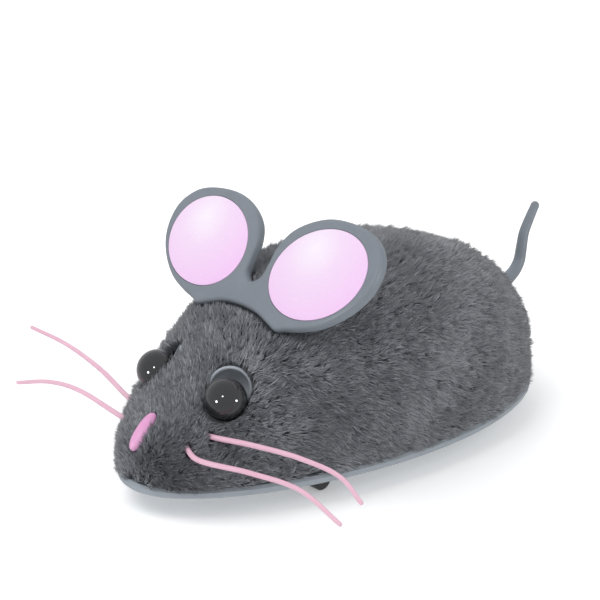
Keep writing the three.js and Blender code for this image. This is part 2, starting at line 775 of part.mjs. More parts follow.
function buildKeyTrain() {
  const train = new THREE.Group();
  mouse.add(train);
  const { y, z } = keyAxis;
  const squareStart = keyStemEnd + 0.2;
  const squareEnd = squareStart - keySocketDepth;
  const round = barX(arborRadius, squareStart, plateInner + plateThickness + 1, y, z);
  const half = keySquare / 2;
  const square = block(squareEnd, squareStart + 0.5, y - half, y + half, z - half, z + half);
  addPiece('winding_arbor', join(round, square), materials.steel, train);

  const outerEnd = keyStemEnd - 8.6;
  const stem = barX(keyStemRadius, outerEnd, keyStemEnd, y, z, 24);
  const socketHalf = half + seatGap;
  const socket = block(squareEnd - 0.4, keyStemEnd + 1, y - socketHalf, y + socketHalf, z - socketHalf, z + socketHalf);
  addPiece('winding_key', cut(join(stem, keyWings(outerEnd)), socket), materials.steel, train);

  gearAt('great_wheel', greatTeeth, 0.85, angleTo(keyAxis, secondAxis), arborRadius + runningGap,
    greatX, gearWidth, keyAxis, materials.brass, train);
  const ratchet = alongX(extruded(ratchetShape(), ratchetWidth), ratchetX).translate(0, y, z);
  addPiece('ratchet_wheel', ratchet, materials.steel, train);
  const clickBody = alongX(extruded(clickShape(), ratchetWidth, 0, 6), ratchetX).translate(0, y, z);
  addPiece('click', clickBody, materials.steel, train);
  const spring = mainspringStrip(-2.2, 4).translate(0, y, z);
  addPiece('mainspring', spring, materials.springSteel);
}

// Two rounded lobes, one each side of the stem, drawn in the X-Z plane of the key.
function keyWings(outerEnd) {
  const lobe = keyWingDepth / 2;
  const reach = keyWingSpan / 2 - lobe;
  const shape = new THREE.Shape();
  shape.moveTo(-reach, -lobe);
  shape.quadraticCurveTo(0, -lobe + 3.4, reach, -lobe);
  shape.absarc(reach, 0, lobe, -Math.PI / 2, Math.PI / 2, false);
  shape.quadraticCurveTo(0, lobe - 3.4, -reach, lobe);
  shape.absarc(-reach, 0, lobe, Math.PI / 2, (3 * Math.PI) / 2, false);
  for (const side of [-1, 1]) {
    const hole = new THREE.Path();
    hole.absarc(side * (reach + 0.4), 0, 1.6, 0, 2 * Math.PI, true);
    shape.holes.push(hole);
  }
  const plate = extruded(shape, keyWingThickness, 0.3, 5).translate(0, 0, -keyWingThickness / 2);
  // shape x runs up the wing (Z), shape y runs along the stem (X)
  const lay = new THREE.Matrix4().makeBasis(
    new THREE.Vector3(0, 0, 1),
    new THREE.Vector3(1, 0, 0),
    new THREE.Vector3(0, 1, 0),
  );
  return plate.applyMatrix4(lay).translate(outerEnd - 0.6, keyAxis.y, keyAxis.z);
}

function buildSecondArbor() {
  const { y, z } = secondAxis;
  const reach = plateInner + plateThickness + 0.8;
  addPiece('second_arbor', barX(secondArborRadius, -reach, reach, y, z), materials.steel);
  const bore = secondArborRadius + runningGap;
  const gap = Math.PI / pinionTeeth;
  gearAt('second_pinion', pinionTeeth, 0.9, angleTo(secondAxis, keyAxis) + gap, bore,
    greatX - 0.2, gearWidth + 0.4, secondAxis, materials.steel);
  gearAt('second_wheel', secondTeeth, 0.85, angleTo(secondAxis, driveAxis), bore,
    secondX, gearWidth, secondAxis, materials.gearPlastic);
}

function buildDriveAxle() {
  const { y, z } = driveAxis;
  const outer = trackInner + tyreWidth;
  addPiece('drive_axle', barX(axleRadius, -outer - 0.4, outer + 0.4, y, z), materials.steel);
  const gap = Math.PI / drivePinionTeeth;
  gearAt('drive_pinion', drivePinionTeeth, 0.9, angleTo(driveAxis, secondAxis) + gap, axleRadius + runningGap,
    secondX - 0.2, gearWidth + 0.4, driveAxis, materials.steel);
  const bore = axleRadius + runningGap;
  const rim = driveRadius - tyreThickness;
  const hubProfile = [
    [bore, 0], [rim, 0], [rim, tyreWidth], [rim - 1.1, tyreWidth], [rim - 1.5, 1.6],
    [2.6, 1.6], [2.4, tyreWidth + 0.1], [bore, tyreWidth + 0.1], [bore, 0],
  ];
  const tyreIn = rim + seatGap;
  const tyreProfile = [
    [tyreIn, 0], [driveRadius - 0.4, 0], [driveRadius, 0.4], [driveRadius, tyreWidth - 0.4],
    [driveRadius - 0.4, tyreWidth], [tyreIn, tyreWidth], [tyreIn, 0],
  ];
  const hub = turnedX(hubProfile, trackInner, y, z, 20);
  const tyre = turnedX(tyreProfile, trackInner, y, z, 32);
  addPiece('drive_wheel_left', hub, materials.blackPlastic);
  addPiece('drive_wheel_right', mirrorX(hub), materials.blackPlastic);
  addPiece('tyre_left', tyre, materials.rubber);
  addPiece('tyre_right', mirrorX(tyre), materials.rubber);
}

function buildFrontAxle() {
  const { y, z } = frontAxis;
  const reach = frontTrackOuter - 0.2;
  addPiece('front_axle', barX(frontAxleRadius, -reach, reach, y, z), materials.steel);
  const bore = frontAxleRadius + runningGap;
  const profile = [
    [bore, 0], [frontRadius - 0.25, 0], [frontRadius, 0.25], [frontRadius, frontWidth - 0.25],
    [frontRadius - 0.25, frontWidth], [bore, frontWidth], [bore, 0],
  ];
  const wheel = turnedX(profile, frontTrackOuter - frontWidth, y, z, 20);
  addPiece('front_wheel_left', wheel, materials.blackPlastic);
  addPiece('front_wheel_right', mirrorX(wheel), materials.blackPlastic);
}

// ---------- base pan, shell and cover ----------

const panTop = panUnderside + panFloor;
const shellBottom = panTop + layerGap;
const shellInset = furThickness + layerGap;
const posts = [
  { name: 'base_screw_front', x: 0, y: -38.5 },
  { name: 'base_screw_rear_left', x: 11.5, y: 34 },
  { name: 'base_screw_rear_right', x: -11.5, y: 34 },
];
const screwReach = 7;

function buildPan() {
  const lipInset = shellInset + shellWall + layerGap;
  const floor = extruded(planShape(0, 4 * stations), panFloor, 0.5).translate(0, 0, panUnderside);
  const lipOuter = extruded(planShape(lipInset), panLipHeight + 0.5).translate(0, 0, panTop - 0.5);
  const lipInner = extruded(planShape(lipInset + panLipWall), panLipHeight + 2).translate(0, 0, panTop - 0.01);
  const lip = common(cut(lipOuter, lipInner), bodySolid(lipInset, panTop - 0.5));
  const additions = [];
  const removals = [];
  const bossTop = footHeight - seatGap;
  for (const side of [-1, 1]) {
    const near = side * (frontTrackOuter - frontWidth - 0.4 - hangerWidth / 2);
    additions.push(hanger(near));
    for (const spot of footSpots) {
      additions.push(barZ(2.1, panTop - 0.4, bossTop, side * footScrewX, spot, 12));
      removals.push(barZ(smallScrewRadius + runningGap, panTop - 0.6, bossTop + 1, side * footScrewX, spot, 10));
    }
  }
  removals.push(barX(frontAxleRadius + runningGap, -halfWidth, halfWidth, frontAxis.y, frontAxis.z));
  const wellHalf = trackInner + tyreWidth + 1;
  const well = [driveAxis.y - wheelWell, driveAxis.y + wheelWell];
  removals.push(block(-wellHalf, wellHalf, well[0], well[1], panUnderside - 1, panTop + 1));
  for (const { x, y } of posts) {
    removals.push(barZ(screwRadius + seatGap, panUnderside - 1, panTop + 3, x, y, 12));
    removals.push(barZ(screwHeadRadius + seatGap, panUnderside - 1, panUnderside + screwHeadHeight + seatGap, x, y, 20));
  }
  addPiece('base_pan', cut(join(floor, lip, ...additions), ...removals), materials.paleGreyPlastic);
}

// Bracket under the pan that carries the front axle.
function hanger(x) {
  const low = frontAxis.z - frontAxleRadius - 0.8;
  const shape = new THREE.Shape();
  shape.moveTo(frontAxis.y - 2.6, panUnderside + 0.5);
  shape.lineTo(frontAxis.y - 1.4, low + 0.5);
  shape.quadraticCurveTo(frontAxis.y, low - 0.5, frontAxis.y + 1.4, low + 0.5);
  shape.lineTo(frontAxis.y + 2.6, panUnderside + 0.5);
  shape.closePath();
  return alongX(extruded(shape, hangerWidth, 0, 5), x - hangerWidth / 2);
}

function buildScrews() {
  for (const { name, x, y } of posts) {
    const profile = [
      [0, screwHeadHeight * 0.45], [0.7, screwHeadHeight * 0.45], [0.7, 0], [screwHeadRadius - 0.3, 0],
      [screwHeadRadius, 0.3], [screwHeadRadius, screwHeadHeight], [screwRadius, screwHeadHeight],
      [screwRadius, screwReach - 1.2], [0, screwReach],
    ];
    const screw = addPiece(name, turnedZ(profile, 12), materials.steel);
    screw.position.set(x, y, panUnderside + 0.05);
  }
  for (const [end, spot] of [['front', footSpots[0]], ['rear', footSpots[1]]]) {
    for (const [hand, side] of [['left', 1], ['right', -1]]) {
      const head = footHeight + plateThickness + runningGap;
      const profile = [
        [0, panTop - 0.4], [smallScrewRadius, panTop + 0.3], [smallScrewRadius, head],
        [smallHeadRadius, head], [smallHeadRadius - 0.3, head + 0.9], [0, head + 1],
      ];
      const screw = addPiece(`motor_screw_${end}_${hand}`, turnedZ(profile, 10), materials.steel);
      screw.position.set(side * footScrewX, spot, 0);
    }
  }
}

function buildKeyBush() {
  const start = keyStemEnd + keyClearance + 0.6;
  const end = start + 5.4;
  const bore = arborRadius + runningGap;
  const profile = [[bore, 0], [2.7, 0], [2.7, end - start], [bore, end - start], [bore, 0]];
  addPiece('key_bush', turnedX(profile, start, keyAxis.y, keyAxis.z, 24), materials.blackPlastic);
  return barX(2.7 + seatGap, start - 6, end + 1, keyAxis.y, keyAxis.z);
}

function buildShellAndCover(openings) {
  const shellOuter = bodySolid(shellInset, shellBottom);
  const shellInner = bodySolid(shellInset + shellWall, shellBottom - 1);
  const hollow = cut(shellOuter, shellInner);
  const inside = bodySolid(shellInset + shellWall / 2, shellBottom);
  const columns = posts.map(({ x, y }) => common(barZ(postRadius, shellBottom, backHeight, x, y, 12), inside));
  const threads = posts.map(({ x, y }) => barZ(
    screwRadius + runningGap, shellBottom - 1, panUnderside + screwReach + 1.5, x, y, 12,
  ));
  addPiece('body_shell', cut(join(hollow, ...columns), ...threads, ...openings), materials.shell);
  const coverOuter = bodySolid(0, shellBottom);
  const coverInner = bodySolid(furThickness, shellBottom - 1);
  addPiece('fur_cover', cut(coverOuter, coverInner, ...openings), materials.fur);
}

const openings = [
  buildEars(),
  buildEye(1, 'left'),
  buildEye(-1, 'right'),
  buildNose(),
  ...whiskers.map(buildWhisker),
  buildTail(),
  buildKeyBush(),
];
buildShellAndCover(openings);
buildPan();
buildPlates();
buildPillars();
buildKeyTrain();
buildSecondArbor();
buildDriveAxle();
buildFrontAxle();
buildScrews();

// The row's origin is the middle of the object's footprint on the floor.
mouse.updateMatrixWorld(true);
const extent = new THREE.Box3().setFromObject(mouse, true);
const middle = extent.getCenter(new THREE.Vector3());
mouse.position.set(-middle.x, -middle.y, 0);

export default mouse;
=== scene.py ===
import math

import bmesh
import bpy
import numpy as np
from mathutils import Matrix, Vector


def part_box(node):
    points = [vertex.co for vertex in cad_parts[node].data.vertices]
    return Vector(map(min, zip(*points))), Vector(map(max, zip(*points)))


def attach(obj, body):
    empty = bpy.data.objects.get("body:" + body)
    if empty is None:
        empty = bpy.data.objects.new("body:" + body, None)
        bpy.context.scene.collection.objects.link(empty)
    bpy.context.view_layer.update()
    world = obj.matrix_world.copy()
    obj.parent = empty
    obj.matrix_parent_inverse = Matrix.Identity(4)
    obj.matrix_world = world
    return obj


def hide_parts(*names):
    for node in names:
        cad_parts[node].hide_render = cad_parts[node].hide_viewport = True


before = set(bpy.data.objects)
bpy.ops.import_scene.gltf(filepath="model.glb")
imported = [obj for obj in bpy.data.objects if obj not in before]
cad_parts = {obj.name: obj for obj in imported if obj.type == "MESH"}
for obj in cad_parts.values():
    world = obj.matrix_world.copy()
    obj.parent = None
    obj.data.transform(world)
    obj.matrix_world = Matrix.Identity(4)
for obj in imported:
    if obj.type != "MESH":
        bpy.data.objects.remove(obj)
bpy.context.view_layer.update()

# Wind-up plush mouse. Shapes are worked out in millimetres with the nose towards -Y,
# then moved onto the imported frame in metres.

panLow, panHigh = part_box("base_pan")
mouseOrigin = np.array([(panLow.x + panHigh.x) / 2, (panLow.y + panHigh.y) / 2, 0.0])
scene = bpy.context.scene


def toRow(points):
    # millimetres in the mouse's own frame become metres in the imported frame
    return np.asarray(points, float) * 0.001 + mouseOrigin


def fromRow(point):
    # the way back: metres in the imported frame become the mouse's millimetres
    return (np.array(point) - mouseOrigin) * 1000


def unit(vectors):
    # each vector divided by its own length
    vectors = np.asarray(vectors, float)
    return vectors / np.maximum(np.linalg.norm(vectors, axis=-1, keepdims=True), 1e-12)


def newMesh(name, points, faceSets):
    # points in millimetres; faceSets are whole arrays of faces, one array for each face size
    mesh = bpy.data.meshes.new(name)
    corners = np.concatenate([faces.ravel() for faces in faceSets]).astype(np.int32)
    sizes = np.concatenate([np.full(len(faces), faces.shape[1]) for faces in faceSets])
    starts = np.concatenate([[0], np.cumsum(sizes)[:-1]]).astype(np.int32)
    mesh.vertices.add(len(points))
    mesh.vertices.foreach_set("co", toRow(points).astype(np.float32).ravel())
    mesh.loops.add(len(corners))
    mesh.loops.foreach_set("vertex_index", corners)
    mesh.polygons.add(len(sizes))
    mesh.polygons.foreach_set("loop_start", starts)
    mesh.update(calc_edges=True)
    return mesh


def newObject(name, mesh):
    piece = bpy.data.objects.new(name, mesh)
    scene.collection.objects.link(piece)
    return piece


def tidyMesh(mesh, dissolve=False):
    # merges the points that meet at poles and seams, then points every face outwards
    edit = bmesh.new()
    edit.from_mesh(mesh)
    bmesh.ops.remove_doubles(edit, verts=edit.verts, dist=2e-6)
    if dissolve:
        bmesh.ops.dissolve_limit(
            edit, angle_limit=math.radians(0.6), verts=edit.verts, edges=edit.edges)
    bmesh.ops.recalc_face_normals(edit, faces=edit.faces)
    edit.to_mesh(mesh)
    edit.free()


def shadeSmooth(mesh):
    mesh.polygons.foreach_set("use_smooth", np.ones(len(mesh.polygons), bool))
    mesh.update()


def gridFaces(rows, columns, wrapRows=False, wrapColumns=False):
    # four-cornered faces between neighbouring rows and columns of a grid of points
    i = np.arange(rows if wrapRows else rows - 1)
    j = np.arange(columns if wrapColumns else columns - 1)
    a, b = np.meshgrid(i, j, indexing="ij")
    nextA, nextB = (a + 1) % rows, (b + 1) % columns
    corners = [a * columns + b, nextA * columns + b, nextA * columns + nextB, a * columns + nextB]
    return np.stack(corners, -1).reshape(-1, 4)


def gridObject(name, points, wrapRows=False, wrapColumns=False, capRows=False):
    # points is rows x columns x 3; capRows closes the first and last row with one face each
    rows, columns = points.shape[:2]
    sets = [gridFaces(rows, columns, wrapRows, wrapColumns)]
    if capRows:
        ring = np.arange(columns)
        sets.append(np.stack([ring[::-1], (rows - 1) * columns + ring]))
    mesh = newMesh(name, points.reshape(-1, 3), sets)
    tidyMesh(mesh)
    return newObject(name, mesh)


def turned(name, profile, centre, axis, sides=64, ring=False):
    # profile of (radius, along): a point at angle t is
    # centre + along * axis + radius * (cos t * across + sin t * up)
    axis = unit(axis)
    helper = np.array([0.0, 0.0, 1.0]) if abs(axis[2]) < 0.9 else np.array([1.0, 0.0, 0.0])
    across = unit(np.cross(helper, axis))
    up = np.cross(axis, across)
    profile = np.asarray(profile, float)
    t = np.linspace(0, 2 * math.pi, sides, endpoint=False)
    spin = np.cos(t)[:, None] * across + np.sin(t)[:, None] * up
    points = (np.asarray(centre) + profile[:, None, 1:] * axis
              + profile[:, None, :1] * spin[None])
    return gridObject(name, points, wrapRows=ring, wrapColumns=True)


def splineThrough(controls, steps=12, closed=False):
    # centripetal Catmull-Rom curve: knots are spaced by the square root of each chord
    controls = np.asarray(controls, float)
    if closed:
        padded = np.concatenate([controls[-1:], controls, controls[:2]])
    else:
        first, last = 2 * controls[0] - controls[1], 2 * controls[-1] - controls[-2]
        padded = np.concatenate([[first], controls, [last]])
    p0, p1, p2, p3 = (padded[k:len(padded) - 3 + k, None] for k in range(4))
    gap = [np.sqrt(np.linalg.norm(b - a, axis=-1, keepdims=True))
           for a, b in ((p0, p1), (p1, p2), (p2, p3))]
    t1 = (p1 - p0) / gap[0] - (p2 - p0) / (gap[0] + gap[1]) + (p2 - p1) / gap[1]
    t2 = (p2 - p1) / gap[1] - (p3 - p1) / (gap[1] + gap[2]) + (p3 - p2) / gap[2]
    m1, m2 = t1 * gap[1], t2 * gap[1]
    s = np.linspace(0, 1, steps, endpoint=False)[None, :, None]
    curve = (p1 + m1 * s + (-3 * p1 + 3 * p2 - 2 * m1 - m2) * s ** 2
             + (2 * p1 - 2 * p2 + m1 + m2) * s ** 3)
    points = curve.reshape(-1, controls.shape[1])
    return points if closed else np.concatenate([points, controls[-1:]])


def tube(name, path, startRadius, endRadius, reference, sides=20, domeSteps=6):
    # a ring stands square to the path at each point, its radius going evenly from one end's
    # to the other's along the path; both ends close with a half dome, and reference is any way
    # that the path never runs, used to turn the rings
    path = np.asarray(path, float)
    tangent = unit(np.gradient(path, axis=0))
    run = np.concatenate([[0], np.cumsum(np.linalg.norm(np.diff(path, axis=0), axis=1))])
    radius = startRadius + (endRadius - startRadius) * run / run[-1]
    lift = np.linspace(math.pi / 2, 0, domeSteps, endpoint=False)
    back = path[0] - np.sin(lift)[:, None] * tangent[0] * startRadius
    front = path[-1] + np.sin(lift[::-1])[:, None] * tangent[-1] * endRadius
    centres = np.concatenate([back, path, front])
    radii = np.concatenate([startRadius * np.cos(lift), radius, endRadius * np.cos(lift[::-1])])
    along = np.concatenate([np.repeat(tangent[:1], domeSteps, 0), tangent,
                            np.repeat(tangent[-1:], domeSteps, 0)])
    side = unit(np.cross(along, reference))
    up = np.cross(side, along)
    t = np.linspace(0, 2 * math.pi, sides, endpoint=False)
    points = centres[:, None] + radii[:, None, None] * (
        np.cos(t)[None, :, None] * side[:, None] + np.sin(t)[None, :, None] * up[:, None])
    return gridObject(name, points, wrapColumns=True)


def roundedSlab(name, outline, depth, edge, place, steps=5):
    # a flat outline with thickness: each row is the outline drawn in by edge * (1 - sin a)
    # and sits edge * (1 - cos a) from its face, so both rims are quarter rounds
    before, after = np.roll(outline, 1, 0), np.roll(outline, -1, 0)
    tangent = unit(after - before)
    inward = np.stack([-tangent[:, 1], tangent[:, 0]], -1)
    a = np.linspace(0, math.pi / 2, steps)
    inset = np.concatenate([edge * (1 - np.sin(a)), edge * (1 - np.sin(a[::-1]))])
    height = np.concatenate([edge * (1 - np.cos(a)), depth - edge * (1 - np.cos(a[::-1]))])
    flat = outline[None] + inset[:, None, None] * inward[None]
    local = np.concatenate([flat, np.broadcast_to(
        (height - depth)[:, None, None], flat.shape[:2] + (1,))], -1)
    return gridObject(name, place(local), wrapColumns=True, capRows=True)


def carve(piece, tools, operation="DIFFERENCE"):
    # applies one boolean for each tool and removes the tool
    for tool in tools:
        change = piece.modifiers.new("carve", "BOOLEAN")
        change.operation = operation
        change.solver = "EXACT"
        change.object = tool
        applyModifiers(piece)
        bpy.data.objects.remove(tool)


def applyModifiers(piece):
    # the piece keeps the mesh that its modifiers make
    bpy.context.view_layer.update()
    graph = bpy.context.evaluated_depsgraph_get()
    made = bpy.data.meshes.new_from_object(piece.evaluated_get(graph))
    piece.modifiers.clear()
    piece.data = made


def softenEdges(piece, width, segments=2, angle=35):
    # a small round on every edge sharper than the angle; large faces then lead the shading
    bevel = piece.modifiers.new("edge round", "BEVEL")
    bevel.width = width * 0.001
    bevel.segments = segments
    bevel.limit_method = "ANGLE"
    bevel.angle_limit = math.radians(angle)
    applyModifiers(piece)
    shadeSmooth(piece.data)
    piece.modifiers.new("even shading", "WEIGHTED_NORMAL")


def finish(piece, material, body, slotName, *nodes):
    # the piece gets its material, or one for each material index, the body that it rides on,
    # and the imported nodes that it stands for are hidden
    # slotName is not used
    piece.data.materials.clear()
    for each in (material if isinstance(material, list) else [material]):
        piece.data.materials.append(each)
    if not isinstance(material, list):
        shadeSmooth(piece.data)
    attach(piece, body)
    if nodes:
        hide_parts(*nodes)
    return piece


def nodeOf(tree, kind, **values):
    # a shader node with its sockets, or failing those its settings, given by name
    node = tree.nodes.new(kind)
    for name, value in values.items():
        if name in node.inputs:
            node.inputs[name].default_value = value
        else:
            setattr(node, name, value)
    return node


def mottledFinish(name, light, dark, grain, roughness, bump, **sockets):
    # two noises on Object coordinates: a slow one mixes light and dark, a fine one of the
    # given grain per metre moves the roughness between its two values and raises the bump
    material = bpy.data.materials.new(name)
    material.use_nodes = True
    tree = material.node_tree
    shader = tree.nodes["Principled BSDF"]
    for socket, value in sockets.items():
        shader.inputs[socket].default_value = value
    where = nodeOf(tree, "ShaderNodeTexCoord")
    slow = nodeOf(tree, "ShaderNodeTexNoise", Scale=grain / 14, Detail=4.0, Roughness=0.6)
    fine = nodeOf(tree, "ShaderNodeTexNoise", Scale=float(grain), Detail=6.0, Roughness=0.65)
    tree.links.new(where.outputs["Object"], slow.inputs["Vector"])
    tree.links.new(where.outputs["Object"], fine.inputs["Vector"])
    ramp = nodeOf(tree, "ShaderNodeValToRGB")
    ramp.color_ramp.elements[0].position = 0.3
    ramp.color_ramp.elements[0].color = (*dark, 1)
    ramp.color_ramp.elements[1].position = 0.7
    ramp.color_ramp.elements[1].color = (*light, 1)
    tree.links.new(slow.outputs["Fac"], ramp.inputs["Fac"])
    tree.links.new(ramp.outputs["Color"], shader.inputs["Base Color"])
    spread = nodeOf(tree, "ShaderNodeMapRange")
    spread.inputs["From Min"].default_value = 0.3
    spread.inputs["From Max"].default_value = 0.7
    spread.inputs["To Min"].default_value = roughness[0]
    spread.inputs["To Max"].default_value = roughness[1]
    tree.links.new(fine.outputs["Fac"], spread.inputs["Value"])
    tree.links.new(spread.outputs["Result"], shader.inputs["Roughness"])
    raised = nodeOf(tree, "ShaderNodeBump", Strength=bump, Distance=0.00004)
    tree.links.new(fine.outputs["Fac"], raised.inputs["Height"])
    tree.links.new(raised.outputs["Normal"], shader.inputs["Normal"])
    return material


def paintedHighlightPink(name, paintedHighlightAt):
    # painted highlight: the lining is painted palest round one point near its upper edge, where a
    # softbox's reflection would show, and goes to its own deeper pink away from it: a ramp on the
    # distance to that point, with a faint drift so the fade is not ruled
    material = mottledFinish(name, (1, 1, 1), (1, 1, 1), 2600, (0.2, 0.3), 0.12,
                             **{"Coat Weight": 0.5, "Coat Roughness": 0.12, "Sheen Weight": 0.1})
    highlightFadeLength = 0.017  # metres from the painted highlight's middle to the lining's own full pink
    tree = material.node_tree
    shader = tree.nodes["Principled BSDF"]
    where = nodeOf(tree, "ShaderNodeTexCoord")
    away = nodeOf(tree, "ShaderNodeVectorMath", operation="DISTANCE")
    away.inputs[1].default_value = paintedHighlightAt
    tree.links.new(where.outputs["Object"], away.inputs[0])
    drift = nodeOf(tree, "ShaderNodeTexNoise", Scale=120.0, Detail=2.0)
    tree.links.new(where.outputs["Object"], drift.inputs["Vector"])
    mixed = nodeOf(tree, "ShaderNodeMath", operation="MULTIPLY_ADD")
    mixed.inputs[1].default_value = 1 / highlightFadeLength
    tree.links.new(away.outputs["Value"], mixed.inputs[0])
    faint = nodeOf(tree, "ShaderNodeMath", operation="MULTIPLY")
    faint.inputs[1].default_value = 0.12
    tree.links.new(drift.outputs["Fac"], faint.inputs[0])
    tree.links.new(faint.outputs["Value"], mixed.inputs[2])
    ramp = nodeOf(tree, "ShaderNodeValToRGB")
    stops = ramp.color_ramp.elements
    # the first stop is the painted highlight, the last is the lining's own pink
    stops[0].position, stops[0].color = 0.04, (0.90, 0.82, 0.91, 1)
    stops[1].position, stops[1].color = 1.0, (0.84, 0.54, 0.84, 1)
    middle = stops.new(0.45)
    middle.color = (0.84, 0.65, 0.85, 1)
    tree.links.new(mixed.outputs["Value"], ramp.inputs["Fac"])
    tree.links.new(ramp.outputs["Color"], shader.inputs["Base Color"])
    return material


def fibreTone(name, colour):
    # one fibre colour, used as a fibre's own tone at its tip half and as painted shade at its root
    # half: a soft, dull thread with a little sheen along it
    material = bpy.data.materials.new(name)
    material.use_nodes = True
    shader = material.node_tree.nodes["Principled BSDF"]
    shader.inputs["Base Color"].default_value = (*colour, 1)
    shader.inputs["Roughness"].default_value = 0.62
    shader.inputs["Specular IOR Level"].default_value = 0.28
    shader.inputs["Sheen Weight"].default_value = 0.25
    shader.inputs["Sheen Roughness"].default_value = 0.45
    return material


finishes = {
    "greyPlastic": mottledFinish(
        "greyPlastic", (0.205, 0.23, 0.262), (0.188, 0.212, 0.243), 3200, (0.36, 0.46), 0.25),
    # painted light: the ears' grey plastic painted lighter for the eye cups' bowls, which the bead
    # shades
    "greyPlasticPaintedLighter": mottledFinish(
        "greyPlasticPaintedLighter", (0.37, 0.40, 0.44), (0.33, 0.36, 0.40), 3200, (0.3, 0.4), 0.25),
    "paleGreyPlastic": mottledFinish(
        "paleGreyPlastic", (0.32, 0.355, 0.39), (0.29, 0.325, 0.36), 2800, (0.42, 0.54), 0.35),
    "pinkPlastic": mottledFinish(
        "pinkPlastic", (0.77, 0.38, 0.63), (0.72, 0.33, 0.58), 2200, (0.28, 0.38), 0.15,
        **{"Coat Weight": 0.25, "Coat Roughness": 0.2, "Subsurface Weight": 0.08,
           "Subsurface Scale": 0.001}),
    "whiskerPink": mottledFinish(
        "whiskerPink", (0.80, 0.50, 0.61), (0.75, 0.44, 0.55), 1800, (0.34, 0.46), 0.2),
    "blackBead": mottledFinish(
        "blackBead", (0.02, 0.02, 0.022), (0.013, 0.013, 0.015), 900, (0.05, 0.085), 0.02,
        **{"Coat Weight": 1.0, "Coat Roughness": 0.03}),
    "innerPlastic": mottledFinish(
        "innerPlastic", (0.052, 0.056, 0.062), (0.042, 0.045, 0.05), 2400, (0.5, 0.65), 0.3),
    "blackPlastic": mottledFinish(
        "blackPlastic", (0.022, 0.023, 0.025), (0.015, 0.016, 0.017), 2600, (0.38, 0.52), 0.3),
    "blackRubber": mottledFinish(
        "blackRubber", (0.018, 0.018, 0.018), (0.01, 0.01, 0.011), 4200, (0.72, 0.9), 0.6),
    "zincSteel": mottledFinish(
        "zincSteel", (0.62, 0.63, 0.65), (0.5, 0.51, 0.53), 3600, (0.24, 0.38), 0.2,
        **{"Metallic": 1.0}),
    "springSteel": mottledFinish(
        "springSteel", (0.16, 0.19, 0.25), (0.11, 0.13, 0.17), 3000, (0.22, 0.34), 0.15,
        **{"Metallic": 1.0}),
    "brassGear": mottledFinish(
        "brassGear", (0.74, 0.53, 0.22), (0.6, 0.41, 0.15), 3400, (0.22, 0.36), 0.2,
        **{"Metallic": 1.0}),
    "naturalPlastic": mottledFinish(
        "naturalPlastic", (0.78, 0.75, 0.68), (0.7, 0.67, 0.6), 2200, (0.4, 0.52), 0.2,
        **{"Subsurface Weight": 0.1, "Subsurface Scale": 0.001}),
    "plushBacking": mottledFinish(
        "plushBacking", (0.075, 0.08, 0.088), (0.045, 0.048, 0.053), 1500, (0.85, 1.0), 1.0,
        **{"Sheen Weight": 0.2}),
}
print("finishes made:", len(finishes))


cameraSetup = {
    "azimuth": 45.95, "elevation": 19.01, "distance": 325.35,
    "aim": (-24.28, 14.13, 19.9), "lens": 87.33,
}


def makeCamera():
    # stands back from its aim by the distance, along the direction of azimuth and elevation
    a, e = math.radians(cameraSetup["azimuth"]), math.radians(cameraSetup["elevation"])
    back = np.array([math.sin(a) * math.cos(e), -math.cos(a) * math.cos(e), math.sin(e)])
    data = bpy.data.cameras.new("camera")
    data.lens = cameraSetup["lens"]
    data.sensor_width = 36
    data.clip_start, data.clip_end = 0.01, 20
    camera = newObject("camera", data)
    camera.location = toRow(np.array(cameraSetup["aim"]) + back * cameraSetup["distance"])
    camera.rotation_mode = "QUATERNION"
    camera.rotation_quaternion = Vector(-back).to_track_quat("-Z", "Y")
    scene.camera = camera


lightSetup = {
    "sky": 0.56, "floorGlow": (0.27, 0.75),
    "softboxes": [  # azimuth, elevation, distance in metres, size in metres, watts
        (-20, 62, 1.1, 0.8, 6.0),
        (95, 40, 1.2, 0.7, 2.2),
        (230, 38, 1.3, 0.7, 2.6),
    ],
    "sparkles": [  # small lamps that only put the bright dots in the bead eyes
        (0, 2, 0.9, 0.15, 2.0),
        (104, 2, 0.9, 0.15, 2.0),
        (29, 33, 0.9, 0.11, 0.8),
    ],
    "aimHeight": 0.02, "floorReach": 9000,
}


def lampAt(name, azimuth, elevation, distance, size, watts):
    # a round lamp that looks at the middle of the mouse; a sparkle is seen only in reflections
    a, e = math.radians(azimuth), math.radians(elevation)
    way = Vector((math.sin(a) * math.cos(e), -math.cos(a) * math.cos(e), math.sin(e)))
    data = bpy.data.lights.new(name, "AREA")
    data.shape = "DISK"
    data.size = size
    data.energy = watts
    lamp = newObject(name, data)
    lamp.location = way * distance + Vector((0, 0, lightSetup["aimHeight"]))
    lamp.rotation_mode = "QUATERNION"
    lamp.rotation_quaternion = (-way).to_track_quat("-Z", "Y")
    lamp.visible_camera = False
    lamp.visible_glossy = name.startswith("sparkle")
    lamp.visible_diffuse = not lamp.visible_glossy


def paleFloor():
    # a faint glow keeps the floor white; it grows with the distance from the mouse, where the
    # lamps no longer reach
    near, far = lightSetup["floorGlow"]
    material = mottledFinish("paleFloor", (0.9, 0.9, 0.9), (0.89, 0.89, 0.89), 40, (0.8, 0.9),
                             0.0, **{"Emission Color": (1, 1, 1, 1)})
    tree = material.node_tree
    where = nodeOf(tree, "ShaderNodeTexCoord")
    away = nodeOf(tree, "ShaderNodeVectorMath", operation="LENGTH")
    tree.links.new(where.outputs["Object"], away.inputs[0])
    glow = nodeOf(tree, "ShaderNodeMapRange")
    glow.inputs["From Min"].default_value = 0.3
    glow.inputs["From Max"].default_value = 1.1
    glow.inputs["To Min"].default_value = near
    glow.inputs["To Max"].default_value = far
    tree.links.new(away.outputs["Value"], glow.inputs["Value"])
    tree.links.new(glow.outputs["Result"],
                   tree.nodes["Principled BSDF"].inputs["Emission Strength"])
    return material


